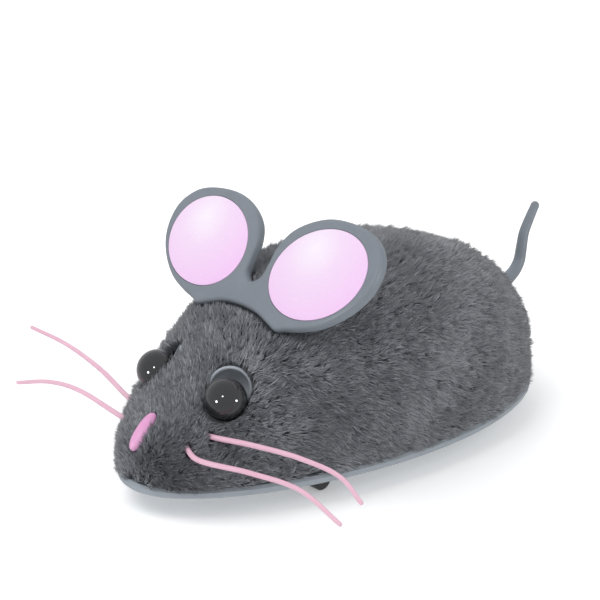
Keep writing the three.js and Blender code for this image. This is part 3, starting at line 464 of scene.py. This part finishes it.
def makeStudio():
    # an even pale sky, the lamps, and a floor that runs out of sight
    world = bpy.data.worlds.new("studio")
    world.use_nodes = True
    world.node_tree.nodes["Background"].inputs["Color"].default_value = (0.97, 0.985, 1.0, 1)
    world.node_tree.nodes["Background"].inputs["Strength"].default_value = lightSetup["sky"]
    scene.world = world
    for kind, group in (("softbox", "softboxes"), ("sparkle", "sparkles")):
        for k, values in enumerate(lightSetup[group]):
            lampAt(f"{kind}{k}", *values)
    reach = lightSetup["floorReach"]
    corners = np.array([[-reach, -reach, 0], [reach, -reach, 0], [reach, reach, 0],
                        [-reach, reach, 0]], float)
    floor = newObject("studio_floor", newMesh("studio_floor", corners, [np.array([[0, 1, 2, 3]])]))
    floor.data.materials.append(paleFloor())
    floor.visible_glossy = False
    scene.view_settings.view_transform = "Standard"


makeCamera()
makeStudio()
print("camera, lights and floor set")


bodyShape = {
    "length": 106.0, "width": 56.4, "height": 43.0, "rumpSwell": 0.16, "roundness": 2.35,
    "panUnderside": 4.6, "coverBottom": 6.7,
    "backLine": [  # share of the half length, share of the height
        (-1, 0.19), (-0.96, 0.34), (-0.89, 0.42), (-0.68, 0.62), (-0.45, 0.845), (-0.15, 0.955),
        (0.03, 0.978), (0.19, 0.972), (0.53, 0.885), (0.8, 0.72), (0.94, 0.57), (1, 0.33)],
}
halfLength, halfWidth = bodyShape["length"] / 2, bodyShape["width"] / 2


def backZ(y, inset=0.0):
    # cubic through the back line's points, its slopes taken from each point's neighbours
    x, z = np.array(bodyShape["backLine"]).T
    slope = np.gradient(z, x, edge_order=1)
    slope[1:-1] = (z[2:] - z[:-2]) / (x[2:] - x[:-2])
    t = np.clip(np.asarray(y, float) / (halfLength - inset), -1, 1)
    i = np.clip(np.searchsorted(x, t) - 1, 0, len(x) - 2)
    step = x[i + 1] - x[i]
    s = (t - x[i]) / step
    rise = z[i] * (1 + 2 * s) * (1 - s) ** 2 + z[i + 1] * s * s * (3 - 2 * s)
    rise += step * (slope[i] * s * (1 - s) ** 2 + slope[i + 1] * s * s * (s - 1))
    return rise * bodyShape["height"] - inset


def planHalfWidth(y, inset=0.0):
    # half width times the root of one less the share squared, swelling towards the rump
    share = np.clip(np.asarray(y, float) / (halfLength - inset), -1, 1)
    return (halfWidth - inset) * np.sqrt(1 - share ** 2) * (1 + bodyShape["rumpSwell"] * share)


def furZ(x, y):
    # height of the coat over a point of the plan: a superellipse across the body
    side = np.minimum(np.abs(x) / planHalfWidth(y), 1)
    low, power = bodyShape["panUnderside"], bodyShape["roundness"]
    return low + (backZ(y) - low) * (1 - side ** power) ** (1 / power)


def bodyPoints(share, angle, inset=0.0, bottom=None):
    # share runs from nose to tail, angle from the left rim over the back to the right rim
    bottom = bodyShape["coverBottom"] if bottom is None else bottom
    power = 2 / bodyShape["roundness"]
    y = (halfLength - inset) * share
    c, s = np.cos(angle), np.maximum(np.sin(angle), 0)
    x = np.sign(c) * planHalfWidth(y, inset) * np.abs(c) ** power
    z = bottom + (backZ(y, inset) - bottom) * s ** power
    return np.stack(np.broadcast_arrays(x, y, z), -1)


def bodyNormals(points, inset=0.0):
    # gradient of (x / half width)^p + (height / back height)^p
    x, y, z = points[..., 0], points[..., 1], points[..., 2]
    power, low, step = bodyShape["roundness"], bodyShape["coverBottom"], 0.05
    reach = halfLength - inset
    y = np.clip(y, -reach + 0.12, reach - 0.12)
    wide, tall = planHalfWidth(y, inset), backZ(y, inset) - low
    wideSlope = (planHalfWidth(y + step, inset) - planHalfWidth(y - step, inset)) / (2 * step)
    tallSlope = (backZ(y + step, inset) - backZ(y - step, inset)) / (2 * step)
    across = np.minimum(np.abs(x) / wide, 1.2)
    above = np.clip((z - low) / tall, 0, 1.2)
    gx = np.sign(x) * across ** (power - 1) / wide
    gz = above ** (power - 1) / tall
    gy = -(across ** power) * wideSlope / wide - above ** power * tallSlope / tall
    return unit(np.stack([gx, gy, gz], -1))


coat = {
    "strands": 176000, "seed": 11,
    "snoutInset": 1.0, "backInset": 2.0, "backingThickness": 0.6,
    "length": 3.0, "snoutLength": 2.3,  # over the back and at the tip of the nose
    "snoutFrom": -49, "snoutTo": -28,  # where the pile grows to its full length
    "rootRadius": 0.15, "middleRadius": 0.12, "rootDepth": 0.35, "hem": 6.0,
    "rootLift": 54, "tipLift": 36,  # degrees off the skin
    "lockTurn": 15, "lockLift": 11,  # how unlike neighbouring locks are, degrees
    "clump": 0.9, "clumpPull": 0.5,
    "bands": ["snout", "cheeks", "crown", "shoulders", "ribs", "loins", "haunches", "rump"],
    # the darkest tone serves only as painted shade at the roots; every root half is painted two
    # tones darker than its tip half
    "tones": {
        "pilePaintedShade": (0.088, 0.094, 0.106), "pileDeep": (0.14, 0.147, 0.163),
        "pileMid": (0.205, 0.214, 0.234), "pileLight": (0.285, 0.296, 0.32),
        "pileTip": (0.42, 0.434, 0.465)},
}

eyeSetup = {"radius": 4.0, "station": -38.0, "side": 10.0, "turn": 42, "raise": 10, "sink": 0.85,
            "cupRadius": 3.6, "cupWall": 0.7, "cupDepth": 2.4, "stemRadius": 1.0, "stemLength": 4.5,
            "stemOpening": 162,  # degrees round the bead from its front to the way for its stem
            "cupRaise": 24, "cupRise": 1.9, "cupSetBack": 2.6, "cupAside": 0.45}


def facing(side, rise):
    # the way an eye looks: turned out from the nose, then raised, both in degrees
    turn, up = math.radians(eyeSetup["turn"]), math.radians(rise)
    return np.array([side * math.sin(turn) * math.cos(up), -math.cos(turn) * math.cos(up),
                     math.sin(up)])


def eyeFrame(side):
    # the bead's centre lies under the coat's surface by its sink
    x, y = eyeSetup["side"], eyeSetup["station"]
    centre = np.array([side * x, y, float(furZ(x, y)) - eyeSetup["sink"]])
    return centre, facing(side, eyeSetup["raise"])


def cupFrame(side):
    # the cup's mouth stands above and behind the bead
    centre, _ = eyeFrame(side)
    axis = facing(side, eyeSetup["cupRaise"])
    up = unit(np.array([0, 0, 1.0]) - axis * axis[2])
    turn = math.radians(eyeSetup["turn"])
    aside = np.array([side * math.cos(turn), math.sin(turn), 0])
    return (centre + up * eyeSetup["cupRise"] - axis * eyeSetup["cupSetBack"]
            + aside * eyeSetup["cupAside"]), axis


earSetup = {
    "station": -20.0, "lift": 4.92, "lean": 35.5, "thickness": 2.6, "edge": 0.95,
    "spread": 15.5, "liningHalf": (11.35, 9.1), "tilt": 16,
    "liningDepth": 0.6, "pegRadius": 1.2, "pegLength": 9.0, "pegSpread": 5.0,
    "pegDrop": 8.5, "pegFoot": 11.4,
    # right half of the outline, from the notch between the ears round to the middle below
    "outline": [(2.0, -3.6), (2.4, -1), (2.7, 2.8), (4.9, 7.0), (11.2, 10.7), (17.9, 11.3),
                (24.6, 9.8), (28.2, 6.2), (28.9, 2.1), (27.9, -1.8), (25.3, -5.5), (21.0, -9.0),
                (16.2, -11), (13, -11.9), (11.2, -12.6), (8.6, -11.8), (4.7, -10.6)],
    "notch": (0, -5), "chin": (0, -10.2),
}
earLean = math.radians(earSetup["lean"])
earOrigin = np.array([0, earSetup["station"], float(backZ(earSetup["station"])) + earSetup["lift"]])
earAcross = np.array([1.0, 0.0, 0.0])
earUp = np.array([0.0, math.sin(earLean), math.cos(earLean)])
earOut = np.array([0.0, -math.cos(earLean), math.sin(earLean)])


def earPlace(local):
    # (across, up the plate, out of its front) to the mouse's frame
    local = np.asarray(local, float)
    return (earOrigin + local[..., :1] * earAcross + local[..., 1:2] * earUp
            + local[..., 2:] * earOut)


def earOutline(steps=5):
    half = earSetup["outline"]
    loop = [earSetup["notch"], *half, earSetup["chin"], *[(-u, v) for u, v in half[::-1]]]
    points = splineThrough(loop, steps, closed=True)
    return points[::-1]  # anticlockwise


def insideOutline(points, outline):
    # crossing count of a ray from each point, all edges at once
    a, b = outline, np.roll(outline, -1, 0)
    x, y = points[:, None, 0], points[:, None, 1]
    spans = (a[None, :, 1] > y) != (b[None, :, 1] > y)
    rise = np.where(np.abs(b[:, 1] - a[:, 1]) < 1e-9, 1e-9, b[:, 1] - a[:, 1])
    cross = a[None, :, 0] + (y - a[None, :, 1]) * (b[:, 0] - a[:, 0])[None] / rise[None]
    return (np.sum(spans & (x < cross), axis=1) % 2).astype(bool)


keyLow, keyHigh = (fromRow(corner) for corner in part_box("winding_key"))
keyAxisY, keyAxisZ = (keyLow[1] + keyHigh[1]) / 2, (keyLow[2] + keyHigh[2]) / 2
noseSetup = {"station": -49.6, "sink": 0.8, "halfLength": 4.0, "halfWidth": 1.45,
             "stemRadius": 0.9, "stemTop": 0.3, "stemFoot": 6.7}
noseCentre = np.array([0, noseSetup["station"],
                       float(backZ(noseSetup["station"])) - noseSetup["sink"]])
noseRise = float(backZ(noseSetup["station"] + 1) - backZ(noseSetup["station"] - 1)) / 2
noseAlong = unit([0, 1, noseRise])
noseOut = unit([0, -noseRise, 1])
tailSetup = {"rise": 19, "rootRadius": 1.8, "tipRadius": 1.0}
tailPath = np.array([(0, halfLength + y, tailSetup["rise"] + z) for y, z in (
    (-6.5, -2), (-2, -0.6), (1.6, 0.5), (4.5, 1.8), (6.9, 3.2), (8.5, 5.2),
    (9.2, 8.6), (9.8, 11.6), (11.2, 14.2), (13.5, 17.6))])

whiskerSetup = {
    "radius": 0.54, "tipRadius": 0.4, "sink": 1.3,
    # side, root across and along, then steps from the root: outwards, backwards and up
    "whisker_left_upper": (1, 10.6, -42.9, [
        (9, 2.2, 0.5), (20.4, 3.6, 1.2), (30, 3.8, 0.9), (37, 1.6, -0.6)]),
    "whisker_left_lower": (1, 8.5, -46.4, [
        (3.8, -0.9, -0.7), (14.5, 2.5, -0.9), (26, 3.7, -0.6), (36.5, 2.8, -2.8)]),
    "whisker_right_upper": (-1, 10.6, -42.9, [
        (12.4, 0.8, 3.3), (25.4, 2, 4.7), (37.4, 1.9, 5.2)]),
    "whisker_right_lower": (-1, 8.5, -46.4, [
        (13.5, -1.4, 2.5), (24.5, -0.9, 1), (36.5, -0.8, -2.7)]),
}
whiskerNames = [name for name in whiskerSetup if name.startswith("whisker_")]


def whiskerPath(name):
    # starts inside the coat, passes the root and follows the whisker's own steps
    side, x, y, way = whiskerSetup[name]
    root = np.array([side * x, y, float(furZ(x, y)) - whiskerSetup["sink"]])
    steps = [(-side * 4.4, 2.2, -1.2), (0, 0, 0)] + [(side * a, b, c) for a, b, c in way]
    return splineThrough(root + np.array(steps), 14)


def wander(points, seed, waves, size):
    # smooth drift over space: a sum of sines with random directions and phases
    random = np.random.default_rng(seed)
    directions = random.normal(size=(waves, 3)) / size
    phases = random.uniform(0, 2 * math.pi, waves)
    return np.sin(points @ directions.T + phases).sum(1) / math.sqrt(waves / 2)


def rootInset(share):
    # how far the roots lie under the coat's outer surface, from nose to rump
    t = np.clip((share + 0.92) / 0.75, 0, 1)
    return coat["snoutInset"] + (coat["backInset"] - coat["snoutInset"]) * t * t * (3 - 2 * t)


def beadSpace(side, radius):
    # a ball round the bead with a way for its stem
    opening = math.radians(eyeSetup["stemOpening"])
    t = np.linspace(opening, 0, 28)
    ball = np.stack([radius * np.sin(t), radius * np.cos(t)], -1)
    ball[-1, 0] = 0
    stem = radius * math.sin(opening)
    return turned("cutter", np.concatenate([[(0, -10), (stem, -10)], ball]), *eyeFrame(side), 48)


def makeBacking():
    # the woven ground of the plush: the body surface drawn in to the pile's roots, with an
    # inner copy of itself a cloth's thickness further in, joined round the lower edge
    share = -np.cos(np.linspace(0, math.pi, 97))[:, None]
    angle = np.linspace(0, math.pi, 73)[None]
    outer = bodyPoints(share, angle, rootInset(share))
    inner = bodyPoints(share, angle[:, ::-1], rootInset(share) + coat["backingThickness"])
    around = np.concatenate([outer, inner], 1)
    backing = gridObject("fur_backing", around, wrapColumns=True)
    for side in (1, -1):
        radius = eyeSetup["cupRadius"] + eyeSetup["cupWall"]
        carve(backing, [turned("cutter", [(0, -3.3), (radius, -3.3), (radius, 9), (0, 9)],
                               *cupFrame(side), 48),
                        beadSpace(side, eyeSetup["radius"] + 0.2)])
    return finish(backing, finishes["plushBacking"], "chassis", "plush_fur", "fur_cover")


def samplePile(count, random):
    # cells of a fine grid are drawn by area, more often on the snout, and each strand's root
    # is a random point of its cell
    rows, columns, pole = 240, 140, 0.02
    share = -np.cos(np.linspace(pole, math.pi - pole, rows + 1))
    angle = np.linspace(0.0, math.pi, columns + 1)
    net = bodyPoints(share[:, None], angle[None], rootInset(share[:, None]))
    span = np.cross(net[1:, 1:] - net[:-1, :-1], net[1:, :-1] - net[:-1, 1:])
    middle = (net[1:, 1:, 1] + net[:-1, :-1, 1]) / 2
    weight = np.linalg.norm(span, axis=-1) * (1 + 1.1 * (1 - grown(middle)))
    total = np.cumsum(weight.ravel())
    cell = np.searchsorted(total, random.uniform(0, total[-1], count))
    i, j = np.divmod(np.minimum(cell, weight.size - 1), columns)
    u, v = random.uniform(size=(2, count))
    place = share[i] * (1 - u) + share[i + 1] * u
    inset = rootInset(place)
    return bodyPoints(place, angle[j] * (1 - v) + angle[j + 1] * v, inset), inset


def grown(y):
    # 0 at the tip of the snout, 1 where the pile has its full length
    t = np.clip((y - coat["snoutFrom"]) / (coat["snoutTo"] - coat["snoutFrom"]), 0, 1)
    return t * t * (3 - 2 * t)


def distanceToLine(points, start, way):
    # distance square to a line, and how far along it
    offset = points - start
    along = offset @ way
    return np.linalg.norm(offset - along[..., None] * way, axis=-1), along


clearSpace = {  # millimetres kept free of strands round the pieces that sit in the coat
    "stemWay": 3.95, "bead": 0.05, "cup": 4.1, "noseTrim": 0.3, "noseDepth": 4, "key": 2.95,
    "tail": 2.0, "whisker": 0.75, "outward": 9, "behindPlate": 0.2, "aheadOfPlate": 5,
    "plateFoot": 14,
}


def blocked(points, outline):
    # True where a strand would lie in a piece that sits in the coat
    found = np.zeros(len(points), bool)
    for side in (1, -1):
        centre, axis = eyeFrame(side)
        off, along = distanceToLine(points, centre, axis)
        found |= (off < clearSpace["stemWay"]) & (along > -1) & (along < clearSpace["outward"])
        found |= np.linalg.norm(points - centre, axis=1) < eyeSetup["radius"] + clearSpace["bead"]
        off, along = distanceToLine(points, *cupFrame(side))
        found |= (off < clearSpace["cup"]) & (along > -3.2) & (along < clearSpace["outward"])
    local = points - noseCentre
    long = (local @ noseAlong) / (noseSetup["halfLength"] + 0.1)
    wide = local[:, 0] / (noseSetup["halfWidth"] - clearSpace["noseTrim"])
    found |= (long ** 2 + wide ** 2 < 1) & (np.abs(local @ noseOut) < clearSpace["noseDepth"])
    off, along = distanceToLine(points, np.array([0, keyAxisY, keyAxisZ]), np.array([-1.0, 0, 0]))
    found |= (off < clearSpace["key"]) & (along > 0)
    near = np.linalg.norm(points[:, None] - splineThrough(tailPath[:4], 4)[None], axis=-1)
    found |= near.min(1) < clearSpace["tail"]
    for name in whiskerNames:
        start = whiskerPath(name)[8:40:3]
        close = np.flatnonzero(np.linalg.norm(points - start[2], axis=1) < 12)
        gap = np.linalg.norm(points[close, None] - start[None], axis=-1).min(1)
        found[close[gap < clearSpace["whisker"]]] = True
    offset = points - earOrigin
    plate = np.stack([offset @ earAcross, offset @ earUp, offset @ earOut], -1)
    plate[:, 1] += 0.3 * np.maximum(plate[:, 2], 0)
    close = np.flatnonzero((plate[:, 2] > -earSetup["thickness"] - clearSpace["behindPlate"])
                           & (plate[:, 2] < clearSpace["aheadOfPlate"])
                           & (plate[:, 1] > -clearSpace["plateFoot"]))
    found[close[insideOutline(plate[close, :2], outline)]] = True
    return found


def makePile():
    # each fibre is a three-sided spike that leaves the skin steeply and then lies down, combed
    # from nose to tail and a little down the flanks; the fibres of one small lock share their
    # turn, lift, length and tone and draw together at the tips, so dark gaps part the locks
    random = np.random.default_rng(coat["seed"])
    root, inset = samplePile(coat["strands"], random)
    normal = bodyNormals(root, inset)
    count = len(root)
    full = grown(root[:, 1])
    warp = np.stack([wander(root, 20 + k, 7, 4.0) for k in range(3)], -1) * 0.7
    clump = coat["clump"] * (0.8 + 0.2 * full)
    cell = np.floor((root + warp + random.normal(0, 0.1, root.shape)) / clump[:, None])
    cell = (cell - cell.min(0)).astype(np.int64)
    label = (cell[:, 0] * 4096 + cell[:, 1]) * 4096 + cell[:, 2]
    _, lock = np.unique(label, return_inverse=True)
    size = np.bincount(lock)
    own = random.normal(size=(5, size.size))[:, lock]

    def mean(values):
        # each fibre gets the average of its lock
        return np.stack([np.bincount(lock, values[:, k]) / size for k in range(3)], -1)[lock]

    sideways = np.abs(normal[:, 0])
    droop = np.clip((root[:, 2] - 7.5) / 9, 0, 1)
    comb = np.stack([0.16 * np.sign(root[:, 0]) * sideways, np.ones(count),
                     -0.42 * sideways * droop - 0.25 * np.clip(root[:, 1] - 30, 0, 23) / 23], -1)
    comb = unit(comb - (comb * normal).sum(1, keepdims=True) * normal)
    swirl = np.radians(12 * wander(root, 3, 9, 9.0) + 12 * wander(root, 4, 9, 2.4)
                       + coat["lockTurn"] * own[0] + random.normal(0, 24, count))
    aside = np.cross(normal, comb)
    comb = comb * np.cos(swirl)[:, None] + aside * np.sin(swirl)[:, None]
    length = coat["snoutLength"] + (coat["length"] - coat["snoutLength"]) * full
    length *= 1 + 0.08 * wander(root, 5, 8, 5.0) + 0.11 * own[1] + random.normal(0, 0.1, count)
    length = np.clip(length, 1.2, 5.5)
    lift = coat["rootLift"] + 6 * wander(root, 6, 8, 3.0) + random.normal(0, 7, count)
    lift = np.radians(np.clip(lift, 18, 80))
    tipLift = (coat["tipLift"] + 5 * wander(root, 7, 8, 2.0) + coat["lockLift"] * own[2]
               + random.normal(0, 13, count))
    tipLift = np.radians(np.clip(tipLift, -6, 70))
    middle = root + (length * 0.42)[:, None] * (
        np.sin(lift)[:, None] * normal + np.cos(lift)[:, None] * comb)
    tip = middle + (length * 0.58)[:, None] * (
        np.sin(tipLift)[:, None] * normal + np.cos(tipLift)[:, None] * comb)
    pull = (coat["clumpPull"] * random.uniform(0.6, 1.25, size.size)[lock])[:, None]
    tip += (mean(tip) - tip) * pull
    middle += (mean(middle) - middle) * pull * 0.35
    # the lowest strands stop at the pan's rim
    tip[:, 2] = np.maximum(tip[:, 2], coat["hem"] + random.uniform(0, 0.5, count))
    middle[:, 2] = np.maximum(middle[:, 2], coat["hem"] + 0.5)
    outline = earOutline(3)
    keep = ~(blocked(root, outline) | blocked(middle, outline) | blocked(tip, outline))
    keep &= ~blocked((middle + tip) / 2, outline)
    tone = (0.35 * wander(root, 9, 9, 7.0) + 0.35 * wander(root, 10, 9, 2.5)
            + 0.6 * own[3] + random.normal(0, 1.15, count))
    buried = root - coat["rootDepth"] * normal
    return makeBands(buried[keep], middle[keep], tip[keep], tone[keep], full[keep], random)


def makeBands(root, middle, tip, tone, full, random):
    # the pile is shared out from nose to rump into pieces; each fibre has seven points, three
    # round its root, three round its middle and its tip, and takes a tone by its tone value, its
    # root half painted two tones darker as shade deep in the pile
    order = np.argsort(root[:, 1], kind="stable")
    tones = [fibreTone(name, colour) for name, colour in coat["tones"].items()]
    bands = np.array_split(order, len(coat["bands"]))
    pieces = []
    for bandName, band in zip(coat["bands"], bands):
        way = unit(tip[band] - root[band])
        side = unit(np.cross(way, [0.31, 0.17, 0.93]))
        up = np.cross(way, side)
        turn = random.uniform(0, 2 * math.pi, len(band))[:, None] + np.arange(3) * 2 * math.pi / 3
        spoke = np.cos(turn)[..., None] * side[:, None] + np.sin(turn)[..., None] * up[:, None]
        fine = (0.72 + 0.28 * full[band])[:, None, None]
        low = root[band][:, None] + coat["rootRadius"] * fine * spoke
        mid = middle[band][:, None] + coat["middleRadius"] * fine * spoke
        points = np.concatenate([low, mid, tip[band][:, None]], 1).reshape(-1, 3)
        start = 7 * np.arange(len(band))[:, None, None]
        quads = start + np.array([[0, 1, 4, 3], [1, 2, 5, 4], [2, 0, 3, 5]])
        ends = start + np.array([[3, 4, 6], [4, 5, 6], [5, 3, 6], [2, 1, 0]])
        mesh = newMesh(f"fur_{bandName}", points, [quads.reshape(-1, 4), ends.reshape(-1, 3)])
        shade = np.digitize(tone[band], [-0.9, 0.35, 1.5])  # 0 to 3
        # painted shade: the faces from root to middle take a tone two steps darker than the faces
        # to the tip, the darkest tone at least
        rootPaintedShadeSlot = np.repeat(np.clip(shade - 1, 0, 2), 3)
        endSlot = np.stack([shade + 1] * 3 + [shade * 0], -1).ravel()
        slots = np.concatenate([rootPaintedShadeSlot, endSlot]).astype(np.int32)
        mesh.polygons.foreach_set("material_index", slots)
        shadeSmooth(mesh)
        piece = newObject(f"fur_{bandName}", mesh)
        pieces.append(finish(piece, tones, "chassis", "plush_fur"))
        mesh.polygons.foreach_set("material_index", slots)
    return pieces


backing = makeBacking()
pilePieces = makePile()
print("coat made:", sum(len(p.data.polygons) for p in pilePieces), "faces in the pile")


def makeEars():
    # the plate with its two pegs is cut with a shallow recess for each pink lining
    plate = roundedSlab("ear_plate_moulding", earOutline(6), earSetup["thickness"],
                        earSetup["edge"], earPlace, 6)
    thick, long = earSetup["pegRadius"], earSetup["pegLength"]
    for side in (1, -1):
        foot = earPlace([side * earSetup["pegSpread"], -earSetup["pegDrop"], -earSetup["pegFoot"]])
        peg = turned("peg", [(0, 0), (thick - 0.2, 0), (thick, 0.3), (thick, long), (0, long)],
                     foot, earOut, 24)
        carve(plate, [peg], "UNION")
        carve(plate, [earOval("recess", side, 0.1, -earSetup["liningDepth"], 3.0, 0.0)])
    softenEdges(plate, 0.22, 3, 40)
    finish(plate, finishes["greyPlastic"], "chassis", "grey_plastic", "ear_plate")
    for side, hand in ((1, "left"), (-1, "right")):
        lining = earOval(f"ear_lining_{hand}_with_painted_highlight", side, 0.0, -0.55, 0.35, 0.5)
        softenEdges(lining, 0.1, 2, 50)
        # the middle of the painted highlight: 3 mm towards -X, 4.5 mm up the plate and 0.3 mm out
        # from each lining's middle
        paintedHighlightAt = toRow(earPlace([side * earSetup["spread"] - 3, 4.5, 0.3]))
        finish(lining, paintedHighlightPink(f"paintedHighlightPink_{hand}", paintedHighlightAt), "chassis", "pink_satin",
               f"ear_lining_{hand}")


def earOval(name, side, grow, low, high, crown):
    # rings of an oval at shares of its half widths; the front falls away from its middle by
    # 0.6 * crown * share squared
    t = np.linspace(0, 2 * math.pi, 96, endpoint=False)
    tilt = math.radians(earSetup["tilt"]) * side
    wide, tall = (half + grow for half in earSetup["liningHalf"])
    shares = np.array([0, 0.5, 0.85, 1, 1, 0.9, 0.75, 0.6, 0.45, 0.3, 0.15, 0])
    front = np.arange(len(shares)) > 3
    height = np.where(front, high - crown * shares ** 2 * 0.6, low)
    x, y = wide * np.cos(t), tall * np.sin(t)
    u = side * earSetup["spread"] + shares[:, None] * (x * math.cos(tilt) - y * math.sin(tilt))
    v = shares[:, None] * (x * math.sin(tilt) + y * math.cos(tilt))
    w = np.broadcast_to(height[:, None], u.shape)
    return gridObject(name, earPlace(np.stack([u, v, w], -1)), wrapColumns=True)


makeEars()
print("ears made")


def makeEyes():
    # a bead on a stem stands in front of a thin cup, whose bowl is an ellipse turned round
    # its axis: radius * sin t across, depth * cos t deep
    radius, bowl, wall, depth = (
        eyeSetup[k] for k in ("radius", "cupRadius", "cupWall", "cupDepth"))
    outer = bowl + wall
    for side, hand in ((1, "left"), (-1, "right")):
        t = np.linspace(0, math.pi / 2, 14)
        inside = np.stack([bowl * np.sin(t), -depth * np.cos(t)], -1)
        inside[0, 0] = 0
        lip = np.array([(bowl + 0.1, 0.25), (bowl + wall / 2, 0.34), (outer - 0.1, 0.25)])
        outside = np.array([(outer, 0), (outer, -1.5), (outer * 0.93, -2.3),
                            (outer * 0.75, -2.9), (outer * 0.5, -3.1), (0, -3.1)])
        cup = turned(f"eye_cup_{hand}_bowl", np.concatenate([inside, lip, outside]),
                     *cupFrame(side), 72)
        carve(cup, [beadSpace(side, radius + 0.15)])
        # painted light: the bowl is painted lighter than the grey plastic it is made of
        finish(cup, finishes["greyPlasticPaintedLighter"], "chassis", "grey_plastic", f"eye_cup_{hand}")
        # the ball starts where it is just as wide as the stem
        t = np.linspace(math.radians(165.5), 0, 40)
        ball = np.stack([radius * np.sin(t), radius * np.cos(t)], -1)
        ball[-1, 0] = 0
        thick, end = eyeSetup["stemRadius"], radius + eyeSetup["stemLength"]
        stem = np.array([(0, -end), (thick - 0.2, -end), (thick, 0.2 - end), (thick, -3.9)])
        bead = turned(f"eye_{hand}_bead", np.concatenate([stem, ball]), *eyeFrame(side), 72)
        finish(bead, finishes["blackBead"], "chassis", "black_bead", f"eye_{hand}")


def makeNose():
    # an oval bead: rings round its long axis, full in the middle and blunt at both ends
    t = np.linspace(0, math.pi, 33)[:, None]
    p = np.linspace(0, 2 * math.pi, 40, endpoint=False)[None]
    long = -noseSetup["halfLength"] * np.sign(np.cos(t)) * np.abs(np.cos(t)) ** 0.9
    girth = noseSetup["halfWidth"] * np.sin(t) ** 0.85
    points = (noseCentre + long[..., None] * noseAlong
              + (girth * np.cos(p))[..., None] * np.array([1.0, 0, 0])
              + (girth * np.sin(p))[..., None] * noseOut)
    nose = gridObject("nose_bead", points, wrapColumns=True)
    thick, top, foot = (noseSetup[k] for k in ("stemRadius", "stemTop", "stemFoot"))
    stem = turned("stem", [(0, -foot), (thick, -foot), (thick, -top), (0, -top)],
                  noseCentre, noseOut, 20)
    carve(nose, [stem], "UNION")
    finish(nose, finishes["pinkPlastic"], "chassis", "pink_plastic", "nose")


def makeWhiskers():
    # four tapering bristles
    for name in whiskerNames:
        strand = tube(f"{name}_bristle", whiskerPath(name), whiskerSetup["radius"],
                      whiskerSetup["tipRadius"], [0.1, 0.2, 1.0])
        finish(strand, finishes["whiskerPink"], "chassis", "pink_plastic", name)


def makeTail():
    # one tapering cord that leaves the rump and turns up
    path = splineThrough(tailPath, 16)
    tail = tube("tail_cord", path, tailSetup["rootRadius"], tailSetup["tipRadius"],
                [1.0, 0.0, 0.0], 32, 8)
    finish(tail, finishes["greyPlastic"], "chassis", "grey_plastic", "tail")


makeEyes()
makeNose()
makeWhiskers()
makeTail()
print("face and tail made")


def copyOfNode(name, node, dissolve=True):
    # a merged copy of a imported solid, ready for rounding
    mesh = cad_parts[node].data.copy()
    mesh.materials.clear()
    tidyMesh(mesh, dissolve)
    return newObject(name, mesh)


pan = copyOfNode("base_pan_tray", "base_pan")
softenEdges(pan, 0.28, 3, 35)
finish(pan, finishes["paleGreyPlastic"], "chassis", "pale_grey_plastic", "base_pan")

cadFinishes = {
    "innerPlastic": ["body_shell"],
    "blackPlastic": ["key_bush", "drive_wheel_left", "drive_wheel_right",
                     "front_wheel_left", "front_wheel_right"],
    "blackRubber": ["tyre_left", "tyre_right"],
    "zincSteel": ["motor_plate_left", "motor_plate_right", "pillar_front_lower",
                  "pillar_front_upper", "pillar_rear_lower", "pillar_rear_upper",
                  "motor_screw_front_left", "motor_screw_front_right",
                  "motor_screw_rear_left", "motor_screw_rear_right", "base_screw_front",
                  "base_screw_rear_left", "base_screw_rear_right", "winding_key",
                  "winding_arbor", "ratchet_wheel", "click", "second_arbor", "second_pinion",
                  "drive_axle", "drive_pinion", "front_axle"],
    "springSteel": ["mainspring"],
    "brassGear": ["great_wheel"],
    "naturalPlastic": ["second_wheel"],
}
for finishName, nodes in cadFinishes.items():
    for node in nodes:
        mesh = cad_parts[node].data
        mesh.materials.clear()
        mesh.materials.append(finishes[finishName])
print("running gear made")
